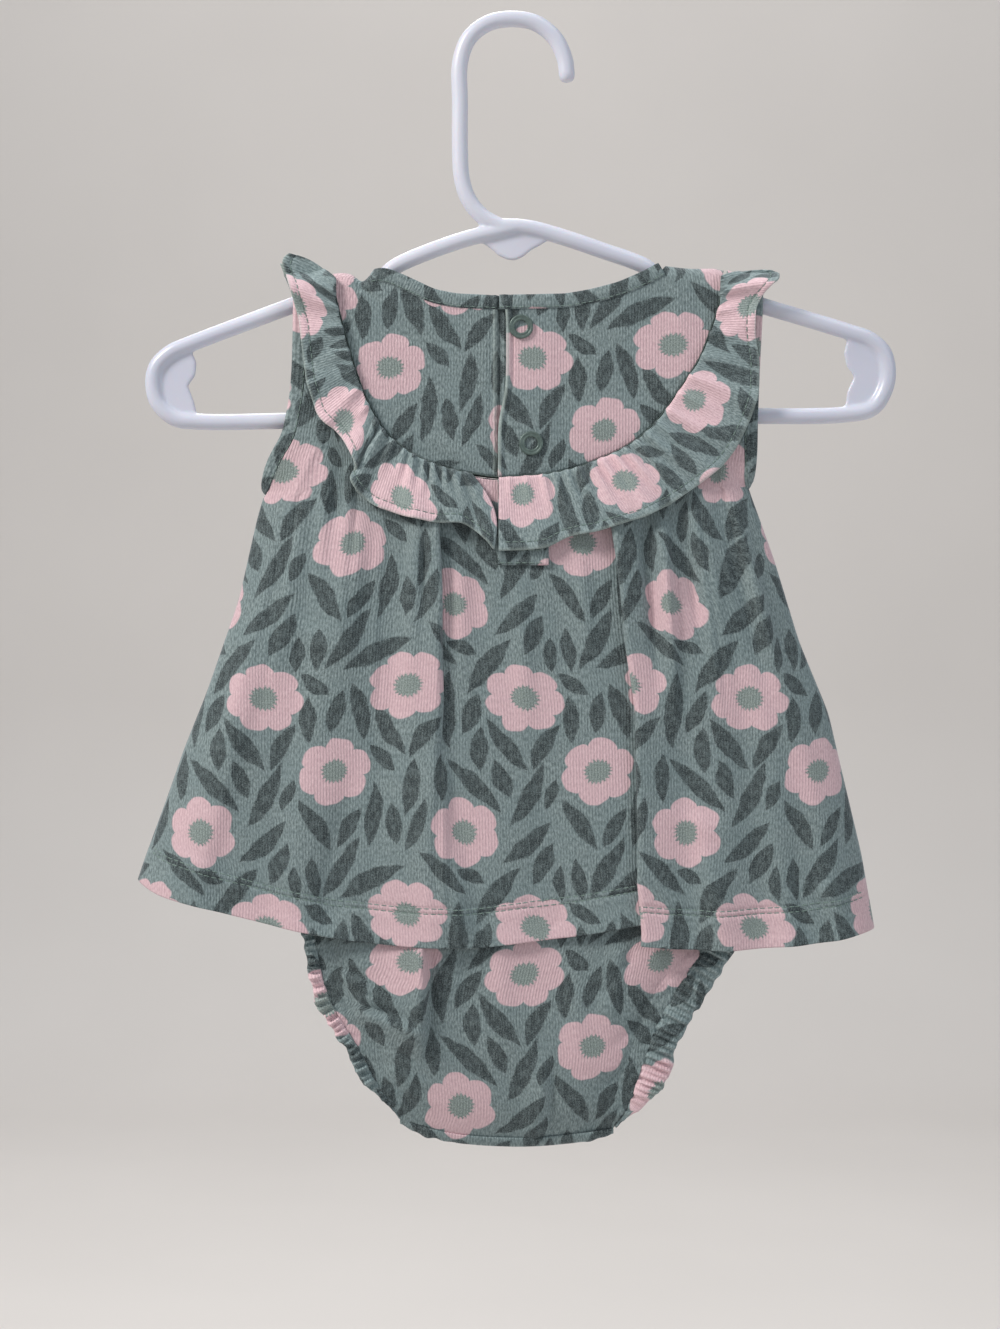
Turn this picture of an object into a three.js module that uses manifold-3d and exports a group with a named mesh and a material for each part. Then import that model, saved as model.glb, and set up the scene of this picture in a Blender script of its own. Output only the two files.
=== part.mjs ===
// A sleeveless baby romper hanging on a child's moulded hanger.
// Millimetres, +Z up. The origin is the point inside the top of the hanger's hook where it rests.
// The garment's back faces -Y, its front faces +Y, and the hanger's tube lies in the plane y = 0.
// The cloth pieces are thin walls laid in layers round one hollow, from the inside out:
// body (bloomers), yoke, skirt, placket, ruffle.
import * as THREE from "three";
import { mergeVertices } from "three/addons/utils/BufferGeometryUtils.js";
import Module from "manifold-3d";

const wasm = await Module();
wasm.setup();

// ---- driving dimensions ----
const CLOTH = 1.0; // one layer of knit
const SEAM = 0.3; // gap between pieces at a seam
const BINDING_T = 2.6; // binding folded over both layers
const NECK_BINDING_W = 4.6;
const ARM_BINDING_W = 4.2;
const LEG_BAND_W = { left: 6.5, right: 10 }; // as they lie: the left one is turned under
const LEG_BAND_T = 1.6;
const TUBE_R = 3.2; // hanger tube
const WEB_T = 1.8; // hanger web plates
const WRAP_R = 4.2; // how far the cloth stands off the middle plane where it goes over the hanger's arm
const RISE = 0.7; // the cloth's inside lies this far above the line below
const SNAP_R = 4.7;
const SNAP_HOLE_R = 2.5;
const SNAP_T = 1.1;
// mid-surface of each layer, measured out from the hollow
const BODY_OUT = 0.5;
const YOKE_OUT = 1.2;
const SKIRT_OUT = 2.05;
const RUFFLE_OUT = 3.7;
const PLACKET_OUT = 3.45;
const LAP_OUT = 0.72; // the two halves of the yoke step in and out by this where they lap

// ---- outlines, as seen from the back; one row per station ----
const pair = (rows) => rows.map(([a, b]) => ({ a, b }));
const at = (rows, v) => {
  // straight between stations
  const n = rows.length;
  if (v <= rows[0].a) return rows[0].b;
  for (let i = 1; i < n; i++)
    if (v <= rows[i].a) {
      const t = (v - rows[i - 1].a) / (rows[i].a - rows[i - 1].a);
      return rows[i - 1].b + t * (rows[i].b - rows[i - 1].b);
    }
  return rows[n - 1].b;
};
// a = height z, b = x (rows run upwards)
const LEFT_EDGE = pair([
  [-332.3, -145.5],
  [-322, -142],
  [-302, -134.6],
  [-281.6, -127.5],
  [-259.4, -118.6],
  [-223.5, -106.1],
  [-192.3, -99.1],
  [-181.3, -95.9],
  [-169.7, -90.5],
  [-161.5, -85],
  [-145.5, -81.7],
  [-133.8, -80.8],
  [-118.2, -80.4],
  [-101.8, -80.2],
]);
const RIGHT_EDGE = pair([
  [-351, 140.8],
  [-322, 135.7],
  [-287.4, 127.5],
  [-267.5, 122.9],
  [-239.8, 111.5],
  [-207.9, 101.8],
  [-190.3, 95.5],
  [-179.4, 91.5],
  [-168.9, 90.8],
  [-157.2, 90.6],
  [-145.5, 90.9],
  [-133.8, 91.4],
  [-118.2, 92.2],
  [-102.2, 92.8],
]);
const BODY_LEFT = pair([
  [-426.7, -43.3],
  [-418.5, -48.4],
  [-408.7, -54.6],
  [-399.8, -58.5],
  [-389.2, -65.1],
  [-379.5, -71],
  [-369.7, -74.1],
  [-352.2, -77.4],
  [-328.8, -82.4],
  [-301.5, -86],
  [-262.5, -88.6],
  [-223.5, -90.6],
  [-188, -91.4],
  [-181.3, -92.2],
  [-169.7, -88],
  [-161.5, -84.6],
  [-145.5, -81.7],
  [-133.8, -80.8],
  [-118.2, -80.4],
  [-101.8, -80.2],
]);
const BODY_RIGHT = pair([
  [-430.6, 39],
  [-418.9, 46.4],
  [-407.2, 49.9],
  [-399.8, 52.7],
  [-392, 54.9],
  [-384.5, 58.5],
  [-376.4, 62.8],
  [-368.9, 68],
  [-361.9, 72.5],
  [-352.2, 77.6],
  [-328.8, 85.4],
  [-301.5, 88.2],
  [-262.5, 88.6],
  [-223.5, 88],
  [-186, 86.6],
  [-179.4, 86.6],
  [-168.9, 87.2],
  [-157.2, 89.4],
  [-145.5, 90.9],
  [-133.8, 91.4],
  [-118.2, 92.2],
  [-102.2, 92.8],
]);
// a = x, b = z
const HEM_BACK = pair([
  [-145.5, -332.3],
  [-137.3, -337.4],
  [-113.1, -343.6],
  [-86.2, -350.2],
  [-67.1, -354.1],
  [-50.3, -356.1],
  [-35.9, -357.2],
  [-12.5, -357.6],
  [28, -352.6],
  [60, -347],
]);
const HEM_BACK_RIGHT = pair([
  [37, -355.6],
  [50.3, -356.5],
  [60, -357.6],
  [81.9, -358.4],
  [111.5, -356.5],
  [126.8, -354.5],
  [140.8, -351],
]);
const HEM_FRONT = pair([
  [-145.5, -332.3],
  [-125, -338],
  [-86, -345],
  [-36, -350],
  [20, -351],
  [70, -351],
  [112, -351],
  [140.8, -351],
]);
const CROTCH = pair([
  [-43.3, -426.7],
  [-33.9, -430.1],
  [-21.4, -432.6],
  [-9.8, -433.6],
  [3.1, -434],
  [13.3, -433.6],
  [31.2, -431.7],
  [39, -430.6],
]);
// the line that the inside of the cloth follows over the hanger's arms, with its dip into the left notch
const SHOULDER = pair([
  [-84, -103.6],
  [-78.8, -101.6],
  [-74.9, -99.9],
  [-69.8, -98.5],
  [-65.1, -98.2],
  [-62, -99.1],
  [-59.7, -101.4],
  [-57.7, -101.9],
  [-55.4, -99.5],
  [-53, -95.6],
  [-47, -88],
  [-30, -70],
  [36, -70],
  [53, -88],
  [59.3, -95.5],
  [65.5, -96.3],
  [70.2, -96.7],
  [79.2, -96.5],
  [83.9, -97.9],
  [88.1, -99.8],
  [92.8, -102.2],
  [96, -103.6],
]);
// seam of the yoke, from the left shoulder round the bottom to the right shoulder
const YOKE_SEAM_BACK = [
  { x: -69.8, z: -97.3 },
  { x: -68.6, z: -105.3 },
  { x: -65.1, z: -119 },
  { x: -60.5, z: -134.9 },
  { x: -56.2, z: -146.6 },
  { x: -49.5, z: -158.3 },
  { x: -42.1, z: -165 },
  { x: -33.9, z: -169.7 },
  { x: -23.8, z: -173.2 },
  { x: -6.2, z: -176.2 },
  { x: 14, z: -174.9 },
  { x: 25, z: -172.4 },
  { x: 41, z: -166.1 },
  { x: 49.1, z: -161.1 },
  { x: 57.3, z: -152.9 },
  { x: 65.5, z: -140.8 },
  { x: 72.9, z: -129.9 },
  { x: 77.6, z: -117 },
  { x: 80.4, z: -108.4 },
  { x: 82.4, z: -96.4 },
];
const YOKE_SEAM_FRONT = [
  { x: -69.8, z: -97.3 },
  { x: -68.4, z: -108 },
  { x: -64, z: -128 },
  { x: -56, z: -148 },
  { x: -42, z: -164 },
  { x: -22, z: -173.5 },
  { x: 4, z: -176.5 },
  { x: 30, z: -172.5 },
  { x: 52, z: -160 },
  { x: 68, z: -141 },
  { x: 77, z: -120 },
  { x: 80.6, z: -108 },
  { x: 82.4, z: -96.4 },
];
// inner edge of the yoke, where the neck binding is sewn on
const NECK_BACK = [
  { x: -56.4, z: -99.7 },
  { x: -49.4, z: -99.4 },
  { x: -40.6, z: -103.3 },
  { x: -31.6, z: -107.6 },
  { x: -22.2, z: -109.5 },
  { x: -6.2, z: -110.2 },
  { x: 10.9, z: -109.9 },
  { x: 21.4, z: -109.5 },
  { x: 32, z: -107.6 },
  { x: 42.6, z: -104.8 },
  { x: 53.2, z: -100.2 },
  { x: 60.6, z: -96 },
];
const NECK_FRONT = [
  { x: -56.4, z: -99.7 },
  { x: -54, z: -108 },
  { x: -49, z: -120 },
  { x: -38, z: -134 },
  { x: -20, z: -145 },
  { x: 3, z: -149 },
  { x: 26, z: -145 },
  { x: 44, z: -134 },
  { x: 54.5, z: -120 },
  { x: 58.4, z: -108 },
  { x: 60.6, z: -96 },
];
const PLACKET = { left: -5.6, right: 14, slit: -4.6, bottom: -210.2, lapTo: 11 };

// ---- the hollow inside the garment ----
// a = z, b = how far the cloth stands off the middle plane
const DEPTH = pair([
  [-439, 3.2],
  [-430, 4.6],
  [-415, 8],
  [-395, 10.5],
  [-360, 11],
  [-330, 10],
  [-280, 8.2],
  [-220, 6.2],
  [-175, 4.9],
  [-150, 4.4],
  [-120, WRAP_R],
]);
const SIDE_W = 24; // the hollow rounds off to the side seam over this width
const CROTCH_H = 16; // and to the crotch over this height

const clamp = (v, a, b) => Math.min(b, Math.max(a, v));
const round0 = (t) => Math.sqrt(Math.max(0, 1 - (1 - clamp(t, 0, 1)) ** 2));
// distance from a side seam, which starts at the underarm point
function fromSeam(x, z, edge, under) {
  if (z > under.z) return Math.hypot(x - under.x, z - under.z);
  const slope = (at(edge, z + 2) - at(edge, z - 2)) / 4;
  return Math.abs(x - at(edge, z)) / Math.hypot(1, slope);
}
const UNDER_L = { x: -95.9, z: -181.3 };
const UNDER_R = { x: 91.5, z: -179.4 };
const BODY_UNDER_L = { x: -92.2, z: -181.3 };
const BODY_UNDER_R = { x: 86.6, z: -179.4 };

// distance of a layer's mid-surface from y = 0, moved `out` from the hollow
function stand(x, z, out, layer) {
  const r = at(DEPTH, z) + out;
  const top = at(SHOULDER, x) + RISE,
    c = top - WRAP_R;
  let g = 1;
  if (z > c) g = Math.sqrt(Math.max(0, 1 - ((z - c) / (WRAP_R + out)) ** 2));
  const body = layer === "body";
  const eL = body
    ? fromSeam(x, z, BODY_LEFT, BODY_UNDER_L)
    : fromSeam(x, z, LEFT_EDGE, UNDER_L);
  const eR = body
    ? fromSeam(x, z, BODY_RIGHT, BODY_UNDER_R)
    : fromSeam(x, z, RIGHT_EDGE, UNDER_R);
  // the bloomers stay open at the leg holes, below the side seams
  const open = body ? clamp((-326 - z) / 14, 0, 1) : 0;
  const w = SIDE_W + out;
  let side = Math.min(round0(eL / w), round0(eR / w));
  side = side + (Math.max(side, 0.72) - side) * open;
  let low = 1;
  if (body) low = round0((z - at(CROTCH, x)) / CROTCH_H);
  return 0.16 + Math.max(0, r * g * side * low - 0.16);
}
const topOf = (x, out) => at(SHOULDER, x) + RISE + out;

// ---- wall maker ----
// grid[i][j] are mid-surface points; the wall is `t` thick, closed round its rims.
// ring = true joins the last column to the first.
// keep = 1 or -1 holds every point on that side of y = 0
function wall(grid, t, ring = false, keep = 0) {
  const ni = grid.length,
    nj = grid[0].length;
  const pos = [];
  const normal = (i, j) => {
    const wrap = (k) => (ring ? (k + ni) % ni : clamp(k, 0, ni - 1));
    const a = grid[wrap(i + 1)][j],
      b = grid[wrap(i - 1)][j],
      c = grid[i][clamp(j + 1, 0, nj - 1)],
      d = grid[i][clamp(j - 1, 0, nj - 1)];
    return new THREE.Vector3()
      .subVectors(a, b)
      .cross(new THREE.Vector3().subVectors(c, d))
      .normalize();
  };
  const id = (s, i, j) => (s * ni + ((i + ni) % ni)) * nj + j;
  for (const s of [1, -1])
    for (let i = 0; i < ni; i++)
      for (let j = 0; j < nj; j++) {
        const n = normal(i, j),
          tt = typeof t === "function" ? t(i, j) : t;
        const p = grid[i][j].clone().addScaledVector(n, (s * tt) / 2);
        if (keep) p.y = keep * Math.max(SEAM / 2, keep * p.y);
        pos.push(p);
      }
  const tri = [];
  const quad = (a, b, c, d) => tri.push(a, b, c, a, c, d);
  const last = ring ? ni : ni - 1;
  for (let i = 0; i < last; i++)
    for (let j = 0; j < nj - 1; j++) {
      quad(id(0, i, j), id(0, i + 1, j), id(0, i + 1, j + 1), id(0, i, j + 1));
      quad(id(1, i, j), id(1, i, j + 1), id(1, i + 1, j + 1), id(1, i + 1, j));
    }
  for (let i = 0; i < last; i++) {
    quad(id(1, i, 0), id(1, i + 1, 0), id(0, i + 1, 0), id(0, i, 0));
    const j = nj - 1;
    quad(id(0, i, j), id(0, i + 1, j), id(1, i + 1, j), id(1, i, j));
  }
  if (!ring)
    for (let j = 0; j < nj - 1; j++) {
      quad(id(0, 0, j), id(0, 0, j + 1), id(1, 0, j + 1), id(1, 0, j));
      const i = ni - 1;
      quad(id(1, i, j), id(1, i, j + 1), id(0, i, j + 1), id(0, i, j));
    }
  return solid(pos, tri);
}
// a closed geometry facing out
function solid(pos, tri) {
  let v = 0;
  for (let k = 0; k < tri.length; k += 3) {
    const [a, b, c] = [pos[tri[k]], pos[tri[k + 1]], pos[tri[k + 2]]];
    v += a.dot(new THREE.Vector3().crossVectors(b, c));
  }
  if (v < 0)
    for (let k = 0; k < tri.length; k += 3)
      [tri[k + 1], tri[k + 2]] = [tri[k + 2], tri[k + 1]];
  const g = new THREE.BufferGeometry();
  g.setAttribute(
    "position",
    new THREE.Float32BufferAttribute(
      pos.flatMap((p) => [p.x, p.y, p.z]),
      3,
    ),
  );
  g.setIndex(tri);
  return g;
}
// point at fraction f along a line of {x, z} stations, by length
function along(line, f) {
  const len = [0];
  for (let i = 1; i < line.length; i++)
    len.push(
      len[i - 1] +
        Math.hypot(line[i].x - line[i - 1].x, line[i].z - line[i - 1].z),
    );
  const s = clamp(f, 0, 1) * len[len.length - 1];
  for (let i = 1; i < line.length; i++)
    if (s <= len[i] + 1e-9) {
      const t = (s - len[i - 1]) / (len[i] - len[i - 1]);
      return {
        x: line[i - 1].x + t * (line[i].x - line[i - 1].x),
        z: line[i - 1].z + t * (line[i].z - line[i - 1].z),
      };
    }
  return line[line.length - 1];
}
// fraction along a line where x is reached
function whereX(line, x) {
  let lo = 0,
    hi = 1;
  for (let k = 0; k < 40; k++) {
    const m = (lo + hi) / 2;
    if (along(line, m).x < x) lo = m;
    else hi = m;
  }
  return (lo + hi) / 2;
}
const lerp = (a, b, t) => a + (b - a) * t;

// ---- skirt and body panels ----
// Each column starts on the shoulder strip or the yoke seam and ends on the hem.
// topAt: fraction of the yoke seam (or, outside 0..1, across the shoulder strip); hem: x at the hem;
// turn: which place in a fold the column is (0 = flat); lift: how far the cloth stands out at mid-height and hem.
function skirtColumns(seam, side) {
  const f = (x) => whereX(seam, x);
  const back = side < 0;
  const rows = [
    { top: -1, hem: -145.5, mid: 0, low: 0 },
    { top: -0.4, hem: -138.5, mid: 0, low: 0.4 },
    { top: 0, hem: -130, mid: 0.6, low: 1.8 },
    { top: 0.008, hem: -126.6, mid: 0.8, low: 2 },
    { top: 0.024, hem: -121, mid: 1.2, low: 2.2 },
    { top: f(-67), hem: -110, mid: 0.6, low: 0.6 },
    { top: f(-61.5), hem: -95, mid: 0, low: 0.6 },
    { top: f(-54.5), hem: -80, mid: 1.4, low: 2.6 },
    { top: f(-47), hem: -66, mid: 0.8, low: 1.2 },
    { top: f(-39), hem: -53, mid: 0, low: 0 },
  ];
  if (back)
    rows.push(
      { top: f(-33), hem: -40, mid: 1.9, low: 1.6, fold: "L", turn: 0 },
      { top: f(-26.6), hem: -30, mid: 3.2, low: 2.2, fold: "L", turn: 1 },
      { top: f(-26.5), hem: -26, mid: 2.4, low: 2, fold: "L", turn: 2 },
      { top: f(-26.6), hem: -22, mid: 1.6, low: 1.5, fold: "L", turn: 3 },
      { top: f(-31.2), hem: -18, mid: 1.6, low: 1, fold: "L", turn: 4 },
      { top: f(-31.9), hem: -14, mid: 0.8, low: 0.5, fold: "L", turn: 5 },
      { top: f(-31.2), hem: -10, mid: 0, low: 0, fold: "L", turn: 6 },
      { top: f(-16), hem: 0, mid: 0, low: 0.8 },
      { top: f(4), hem: 16, mid: 0.2, low: 0.8 },
      { top: f(26), hem: 38, mid: 0, low: 0 },
      { top: f(41.9), hem: 57.2, mid: 0, low: 0, fold: "R", turn: 6 },
      { top: f(42.6), hem: 58, mid: 0.8, low: 0.8, fold: "R", turn: 5 },
      { top: f(41.9), hem: 57.2, mid: 1.6, low: 1.6, fold: "R", turn: 4 },
      { top: f(37.1), hem: 50.6, mid: 1.6, low: 1.6, fold: "R", turn: 3 },
      { top: f(36.9), hem: 49.9, mid: 2.4, low: 2.4, fold: "R", turn: 2 },
      { top: f(37.1), hem: 50.6, mid: 3.2, low: 3.2, fold: "R", turn: 1 },
      { top: f(44), hem: 60, mid: 2.2, low: 2.6, fold: "R", turn: 0 },
      { top: f(50), hem: 72, mid: 0.7, low: 0.8 },
    );
  else
    rows.push(
      { top: f(-26), hem: -36, mid: 1.6, low: 2.4 },
      { top: f(-12), hem: -18, mid: 0.2, low: 0 },
      { top: f(3), hem: 2, mid: 1.2, low: 2.2 },
      { top: f(18), hem: 22, mid: 0, low: 0.3 },
      { top: f(32), hem: 40, mid: 1.5, low: 2.4 },
      { top: f(45), hem: 58, mid: 0, low: 0.2 },
      { top: f(53), hem: 72, mid: 0.8, low: 1.4 },
    );
  rows.push(
    { top: f(58.5), hem: 84, mid: 1.6, low: 2.6 },
    { top: f(66), hem: 97, mid: 0.2, low: 0.4 },
    { top: f(72.5), hem: 108, mid: 1, low: 2 },
    { top: f(77.5), hem: 118, mid: 0.2, low: 0.2 },
    { top: 0.976, hem: 126, mid: 0.5, low: 1.2 },
    { top: 0.992, hem: 129.4, mid: 0.4, low: 1 },
    { top: 1, hem: 132, mid: 0.2, low: 0.8 },
    { top: 1.4, hem: 136.6, mid: 0, low: 0.2 },
    { top: 2, hem: 140.8, mid: 0, low: 0 },
  );
  return rows;
}
// rows: the first ones in mm below the top, where the cloth goes over the hanger, the others by fraction
const ROWS_TOP = [0, 0.7, 2.2, 4.6, 10];
const ROWS_SKIRT = [0.12, 0.21, 0.28, 0.33, 0.38, 0.5, 0.68, 0.85, 1];
const ROWS_BODY = [0.085, 0.15, 0.2, 0.235, 0.275, 0.4, 0.56, 0.7, 0.8, 0.89, 0.96, 1];
// top end of a column: on the seam, or across the shoulder strip outside it
function topPoint(seam, top, out, edgeL, edgeR, gap) {
  if (top >= 0 && top <= 1) {
    const p = along(seam, clamp(top, 0.0, 1.0));
    const q = along(seam, clamp(top - 0.01, 0, 1)),
      r = along(seam, clamp(top + 0.01, 0, 1));
    const nx = -(r.z - q.z),
      nz = r.x - q.x,
      l = Math.hypot(nx, nz);
    // moved down and out of the yoke, square to the seam
    const m = { x: p.x - (nx / l) * gap, z: p.z - (nz / l) * gap };
    m.z = Math.min(m.z, topOf(m.x, out) - 0.02);
    return m;
  }
  const inner = along(seam, top < 0 ? 0 : 1);
  const outer = top < 0 ? at(edgeL, -110) : at(edgeR, -110);
  const t = top < 0 ? -top : top - 1;
  const s = top < 0 ? -gap : gap;
  const x = lerp(inner.x + s, outer, t);
  return { x, z: topOf(x, out) - 0.02 };
}
// inset keeps a panel's edge clear of the binding sewn to it
function panel({ seam, columns, rows, out, side, edgeL, edgeR, hemOf, layer, inset, lift, t }) {
  const gap = layer === "body" ? 2 : 1.4;
  const insetAt = (z, u) =>
    z > u.z - 1 || (layer === "body" && z < -322) ? inset : 0;
  const xl = (z) => at(edgeL, z) + insetAt(z, layer === "body" ? BODY_UNDER_L : UNDER_L);
  const xr = (z) => at(edgeR, z) - insetAt(z, layer === "body" ? BODY_UNDER_R : UNDER_R);
  const n = columns.length;
  return columns.map((c, k) => {
    const T = topPoint(seam, c.top, out, edgeL, edgeR, gap);
    const H = { x: c.hem, z: hemOf(c) };
    const f0 = clamp((T.x - xl(T.z)) / (xr(T.z) - xl(T.z)), 0, 1);
    const f1 = clamp((H.x - xl(H.z)) / (xr(H.z) - xl(H.z)), 0, 1);
    const vs = [...ROWS_TOP.map((mm) => mm / (T.z - H.z)), ...rows];
    return vs.map((v) => {
      const z = lerp(T.z, H.z, v);
      let f = lerp(f0, f1, v);
      if (k === 0) f = 0;
      if (k === n - 1) f = 1;
      let x = lerp(xl(z), xr(z), f);
      // near its own seam a column keeps clear of the yoke's edge
      const up = lift ? lift(c, v, z, x) : 0;
      return new THREE.Vector3(x, side * (stand(x, z, out, layer) + up), z);
    });
  });
}
// how far a skirt column stands out: nothing on the strip and at the side seams, growing to the hem
function skirtLift(c, v, z, x) {
  const m = c.mid ?? 0,
    l = c.low ?? 0;
  if (c.fold) return lerp(m, l, clamp((v - 0.25) / 0.75, 0, 1));
  const grow = clamp((v - 0.14) / 0.25, 0, 1);
  return grow * lerp(m, l, clamp((v - 0.3) / 0.7, 0, 1));
}
function skirt(side) {
  const seam = side < 0 ? YOKE_SEAM_BACK : YOKE_SEAM_FRONT;
  const hemOf = (c) =>
    side > 0
      ? at(HEM_FRONT, c.hem)
      : c.fold === "R" && c.turn <= 3
        ? at(HEM_BACK_RIGHT, c.hem)
        : c.hem > 59.9 && !(c.fold === "R")
          ? at(HEM_BACK_RIGHT, c.hem)
          : c.fold === "R" && c.turn === 4
            ? at(HEM_BACK, c.hem) - 6.5
            : at(HEM_BACK, c.hem);
  return wall(
    panel({
      seam,
      columns: skirtColumns(seam, side),
      rows: ROWS_SKIRT,
      out: SKIRT_OUT,
      side,
      edgeL: LEFT_EDGE,
      edgeR: RIGHT_EDGE,
      hemOf,
      layer: "skirt",
      inset: 0.8,
      lift: skirtLift,
    }),
    CLOTH,
    false,
    side,
  );
}
function body(side) {
  const seam = side < 0 ? YOKE_SEAM_BACK : YOKE_SEAM_FRONT;
  const f = (x) => whereX(seam, x);
  const columns = [
    { top: -1, hem: -43.3 },
    { top: -0.4, hem: -40.4 },
    { top: 0, hem: -37.6 },
    { top: 0.008, hem: -36.2 },
    { top: 0.024, hem: -34.4 },
    { top: f(-61.5), hem: -29 },
    { top: f(-52), hem: -22 },
    { top: f(-38), hem: -14 },
    { top: f(-16), hem: -5 },
    { top: f(6), hem: 4 },
    { top: f(28), hem: 13 },
    { top: f(48), hem: 21 },
    { top: f(62), hem: 27 },
    { top: f(74), hem: 31.4 },
    { top: 0.976, hem: 33.8 },
    { top: 0.992, hem: 35.2 },
    { top: 1, hem: 36.2 },
    { top: 1.4, hem: 37.6 },
    { top: 2, hem: 39 },
  ];
  return wall(
    panel({
      seam,
      columns,
      rows: ROWS_BODY,
      out: BODY_OUT,
      side,
      edgeL: BODY_LEFT,
      edgeR: BODY_RIGHT,
      hemOf: (c) => at(CROTCH, c.hem) + 0.4,
      layer: "body",
      inset: 0.8,
      lift: null,
    }),
    CLOTH,
    false,
    side,
  );
}

// ---- yokes ----
// columns run from the placket (or round the whole front) to the shoulder; rows from the neck to the seam
const HALF_STATIONS = [0, 0.09, 0.17, 0.26, 0.4, 0.55, 0.7, 0.82, 0.91, 0.965, 0.985, 1];
const FRONT_STATIONS = [0, 0.008, 0.02, 0.05, 0.12, 0.22, 0.34, 0.46, 0.58, 0.7, 0.8, 0.88, 0.95, 0.98, 0.992, 1];
function yokeHalf(left) {
  // stations of the back yoke's half: fraction along the neck and along the seam
  const slitN = whereX(NECK_BACK, left ? PLACKET.lapTo : PLACKET.left);
  const slitS = whereX(YOKE_SEAM_BACK, left ? PLACKET.lapTo : PLACKET.left);
  const lapStep = left
    ? (x) => -LAP_OUT * clamp((x + 10) / 4, 0, 1)
    : (x) => LAP_OUT * clamp((18 - x) / 4, 0, 1);
  const grid = HALF_STATIONS.map((u) => {
    const fn = lerp(slitN, left ? 0 : 1, u),
      fs = lerp(slitS, left ? 0 : 1, u);
    return yokeColumn(NECK_BACK, YOKE_SEAM_BACK, fn, fs, -1, lapStep);
  });
  return wall(grid, CLOTH, false, -1);
}
function yokeColumn(neck, seam, fn, fs, side, lap) {
  const N = along(neck, fn),
    S = along(seam, fs);
  const col = [];
  for (let j = 0; j <= 6; j++) {
    const v = j / 6;
    const x = lerp(N.x, S.x, v);
    let z = lerp(N.z, S.z, v);
    const far = Math.max(clamp((0.012 - fs) / 0.012, 0, 1), clamp((fs - 0.988) / 0.012, 0, 1));
    const top = topOf(x, YOKE_OUT) - 0.02;
    z = Math.min(lerp(z, top, far), top);
    col.push(
      new THREE.Vector3(x, side * (stand(x, z, YOKE_OUT, "yoke") + (lap ? lap(x) : 0)), z),
    );
  }
  return col;
}
function frontYoke() {
  return wall(
    FRONT_STATIONS.map((u) => yokeColumn(NECK_FRONT, YOKE_SEAM_FRONT, u, u, 1, null)),
    CLOTH,
    false,
    1,
  );
}

// ---- neck binding: a folded strip that stands up from the yoke's inner edge ----
function neckStrip(line, fractions, side, lap) {
  const grid = [];
  for (const f of fractions) {
    const p = along(line, f),
      q = along(line, clamp(f - 0.02, 0, 1)),
      r = along(line, clamp(f + 0.02, 0, 1));
    const l = Math.hypot(r.x - q.x, r.z - q.z);
    const nx = -(r.z - q.z) / l,
      nz = (r.x - q.x) / l;
    const col = [];
    for (const d of [CLOTH / 2 + SEAM, NECK_BINDING_W]) {
      const x = p.x + nx * d,
        z0 = p.z + nz * d;
      const top = topOf(x, YOKE_OUT) - 0.02;
      const z = Math.min(z0, top);
      col.push(
        new THREE.Vector3(x, side * (stand(x, z, YOKE_OUT, "yoke") + (lap ? 1.35 * lap(x) : 0)), z),
      );
    }
    grid.push(col);
  }
  return wall(grid, 1.5, false, side);
}

// ---- ruffles ----
// One row per fold: at = fraction along the ruffle from its free end (or the left shoulder on the front),
// drop = width of the ruffle there, out = how far its outer edge stands off, lean = sideways shift of the outer edge.
const RUFFLE_LEFT = [
  { at: 0, drop: 27, out: 3.2, lean: 4 },
  { at: 0.05, drop: 25, out: 1.6, lean: 1 },
  { at: 0.1, drop: 21.5, out: 0.4, lean: 0 },
  { at: 0.17, drop: 20.5, out: 2.6, lean: 0 },
  { at: 0.23, drop: 20.5, out: 0.6, lean: 1 },
  { at: 0.29, drop: 21, out: 2.8, lean: 0 },
  { at: 0.36, drop: 21.5, out: 0.4, lean: 0 },
  { at: 0.42, drop: 22.5, out: 4.6, lean: -1 },
  { at: 0.48, drop: 20, out: 2.6, lean: -3 },
  { at: 0.53, drop: 17.5, out: 0.6, lean: 0 },
  { at: 0.6, drop: 18.5, out: 2.4, lean: 0 },
  { at: 0.68, drop: 17, out: 0.8, lean: 0 },
  { at: 0.76, drop: 14.5, out: 2.2, lean: 0 },
  { at: 0.84, drop: 13, out: 1.2, lean: 0 },
  { at: 0.91, drop: 13.5, out: 3.4, lean: 0 },
  { at: 0.96, drop: 15, out: 4.4, lean: 0 },
  { at: 1, drop: 16, out: 2.4, lean: 0 },
];
const RUFFLE_RIGHT = [
  { at: 0, drop: 28, out: 2, lean: 0 },
  { at: 0.06, drop: 28.5, out: 1.2, lean: 0 },
  { at: 0.12, drop: 28.5, out: 1.8, lean: 0 },
  { at: 0.17, drop: 26.5, out: 3, lean: 0 },
  { at: 0.22, drop: 25, out: 1, lean: 0 },
  { at: 0.28, drop: 25, out: 3.4, lean: 0 },
  { at: 0.34, drop: 25.5, out: 1, lean: 0 },
  { at: 0.4, drop: 26, out: 3.6, lean: 0 },
  { at: 0.46, drop: 26, out: 1, lean: 0 },
  { at: 0.52, drop: 26, out: 3.2, lean: 0 },
  { at: 0.58, drop: 26, out: 1.2, lean: 0 },
  { at: 0.65, drop: 25, out: 2.6, lean: 0 },
  { at: 0.72, drop: 21, out: 1, lean: 0 },
  { at: 0.79, drop: 17.5, out: 2.4, lean: 0 },
  { at: 0.86, drop: 15, out: 1, lean: 0 },
  { at: 0.93, drop: 13.6, out: 3.4, lean: 0 },
  { at: 1, drop: 17, out: 2.6, lean: 0 },
];
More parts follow.
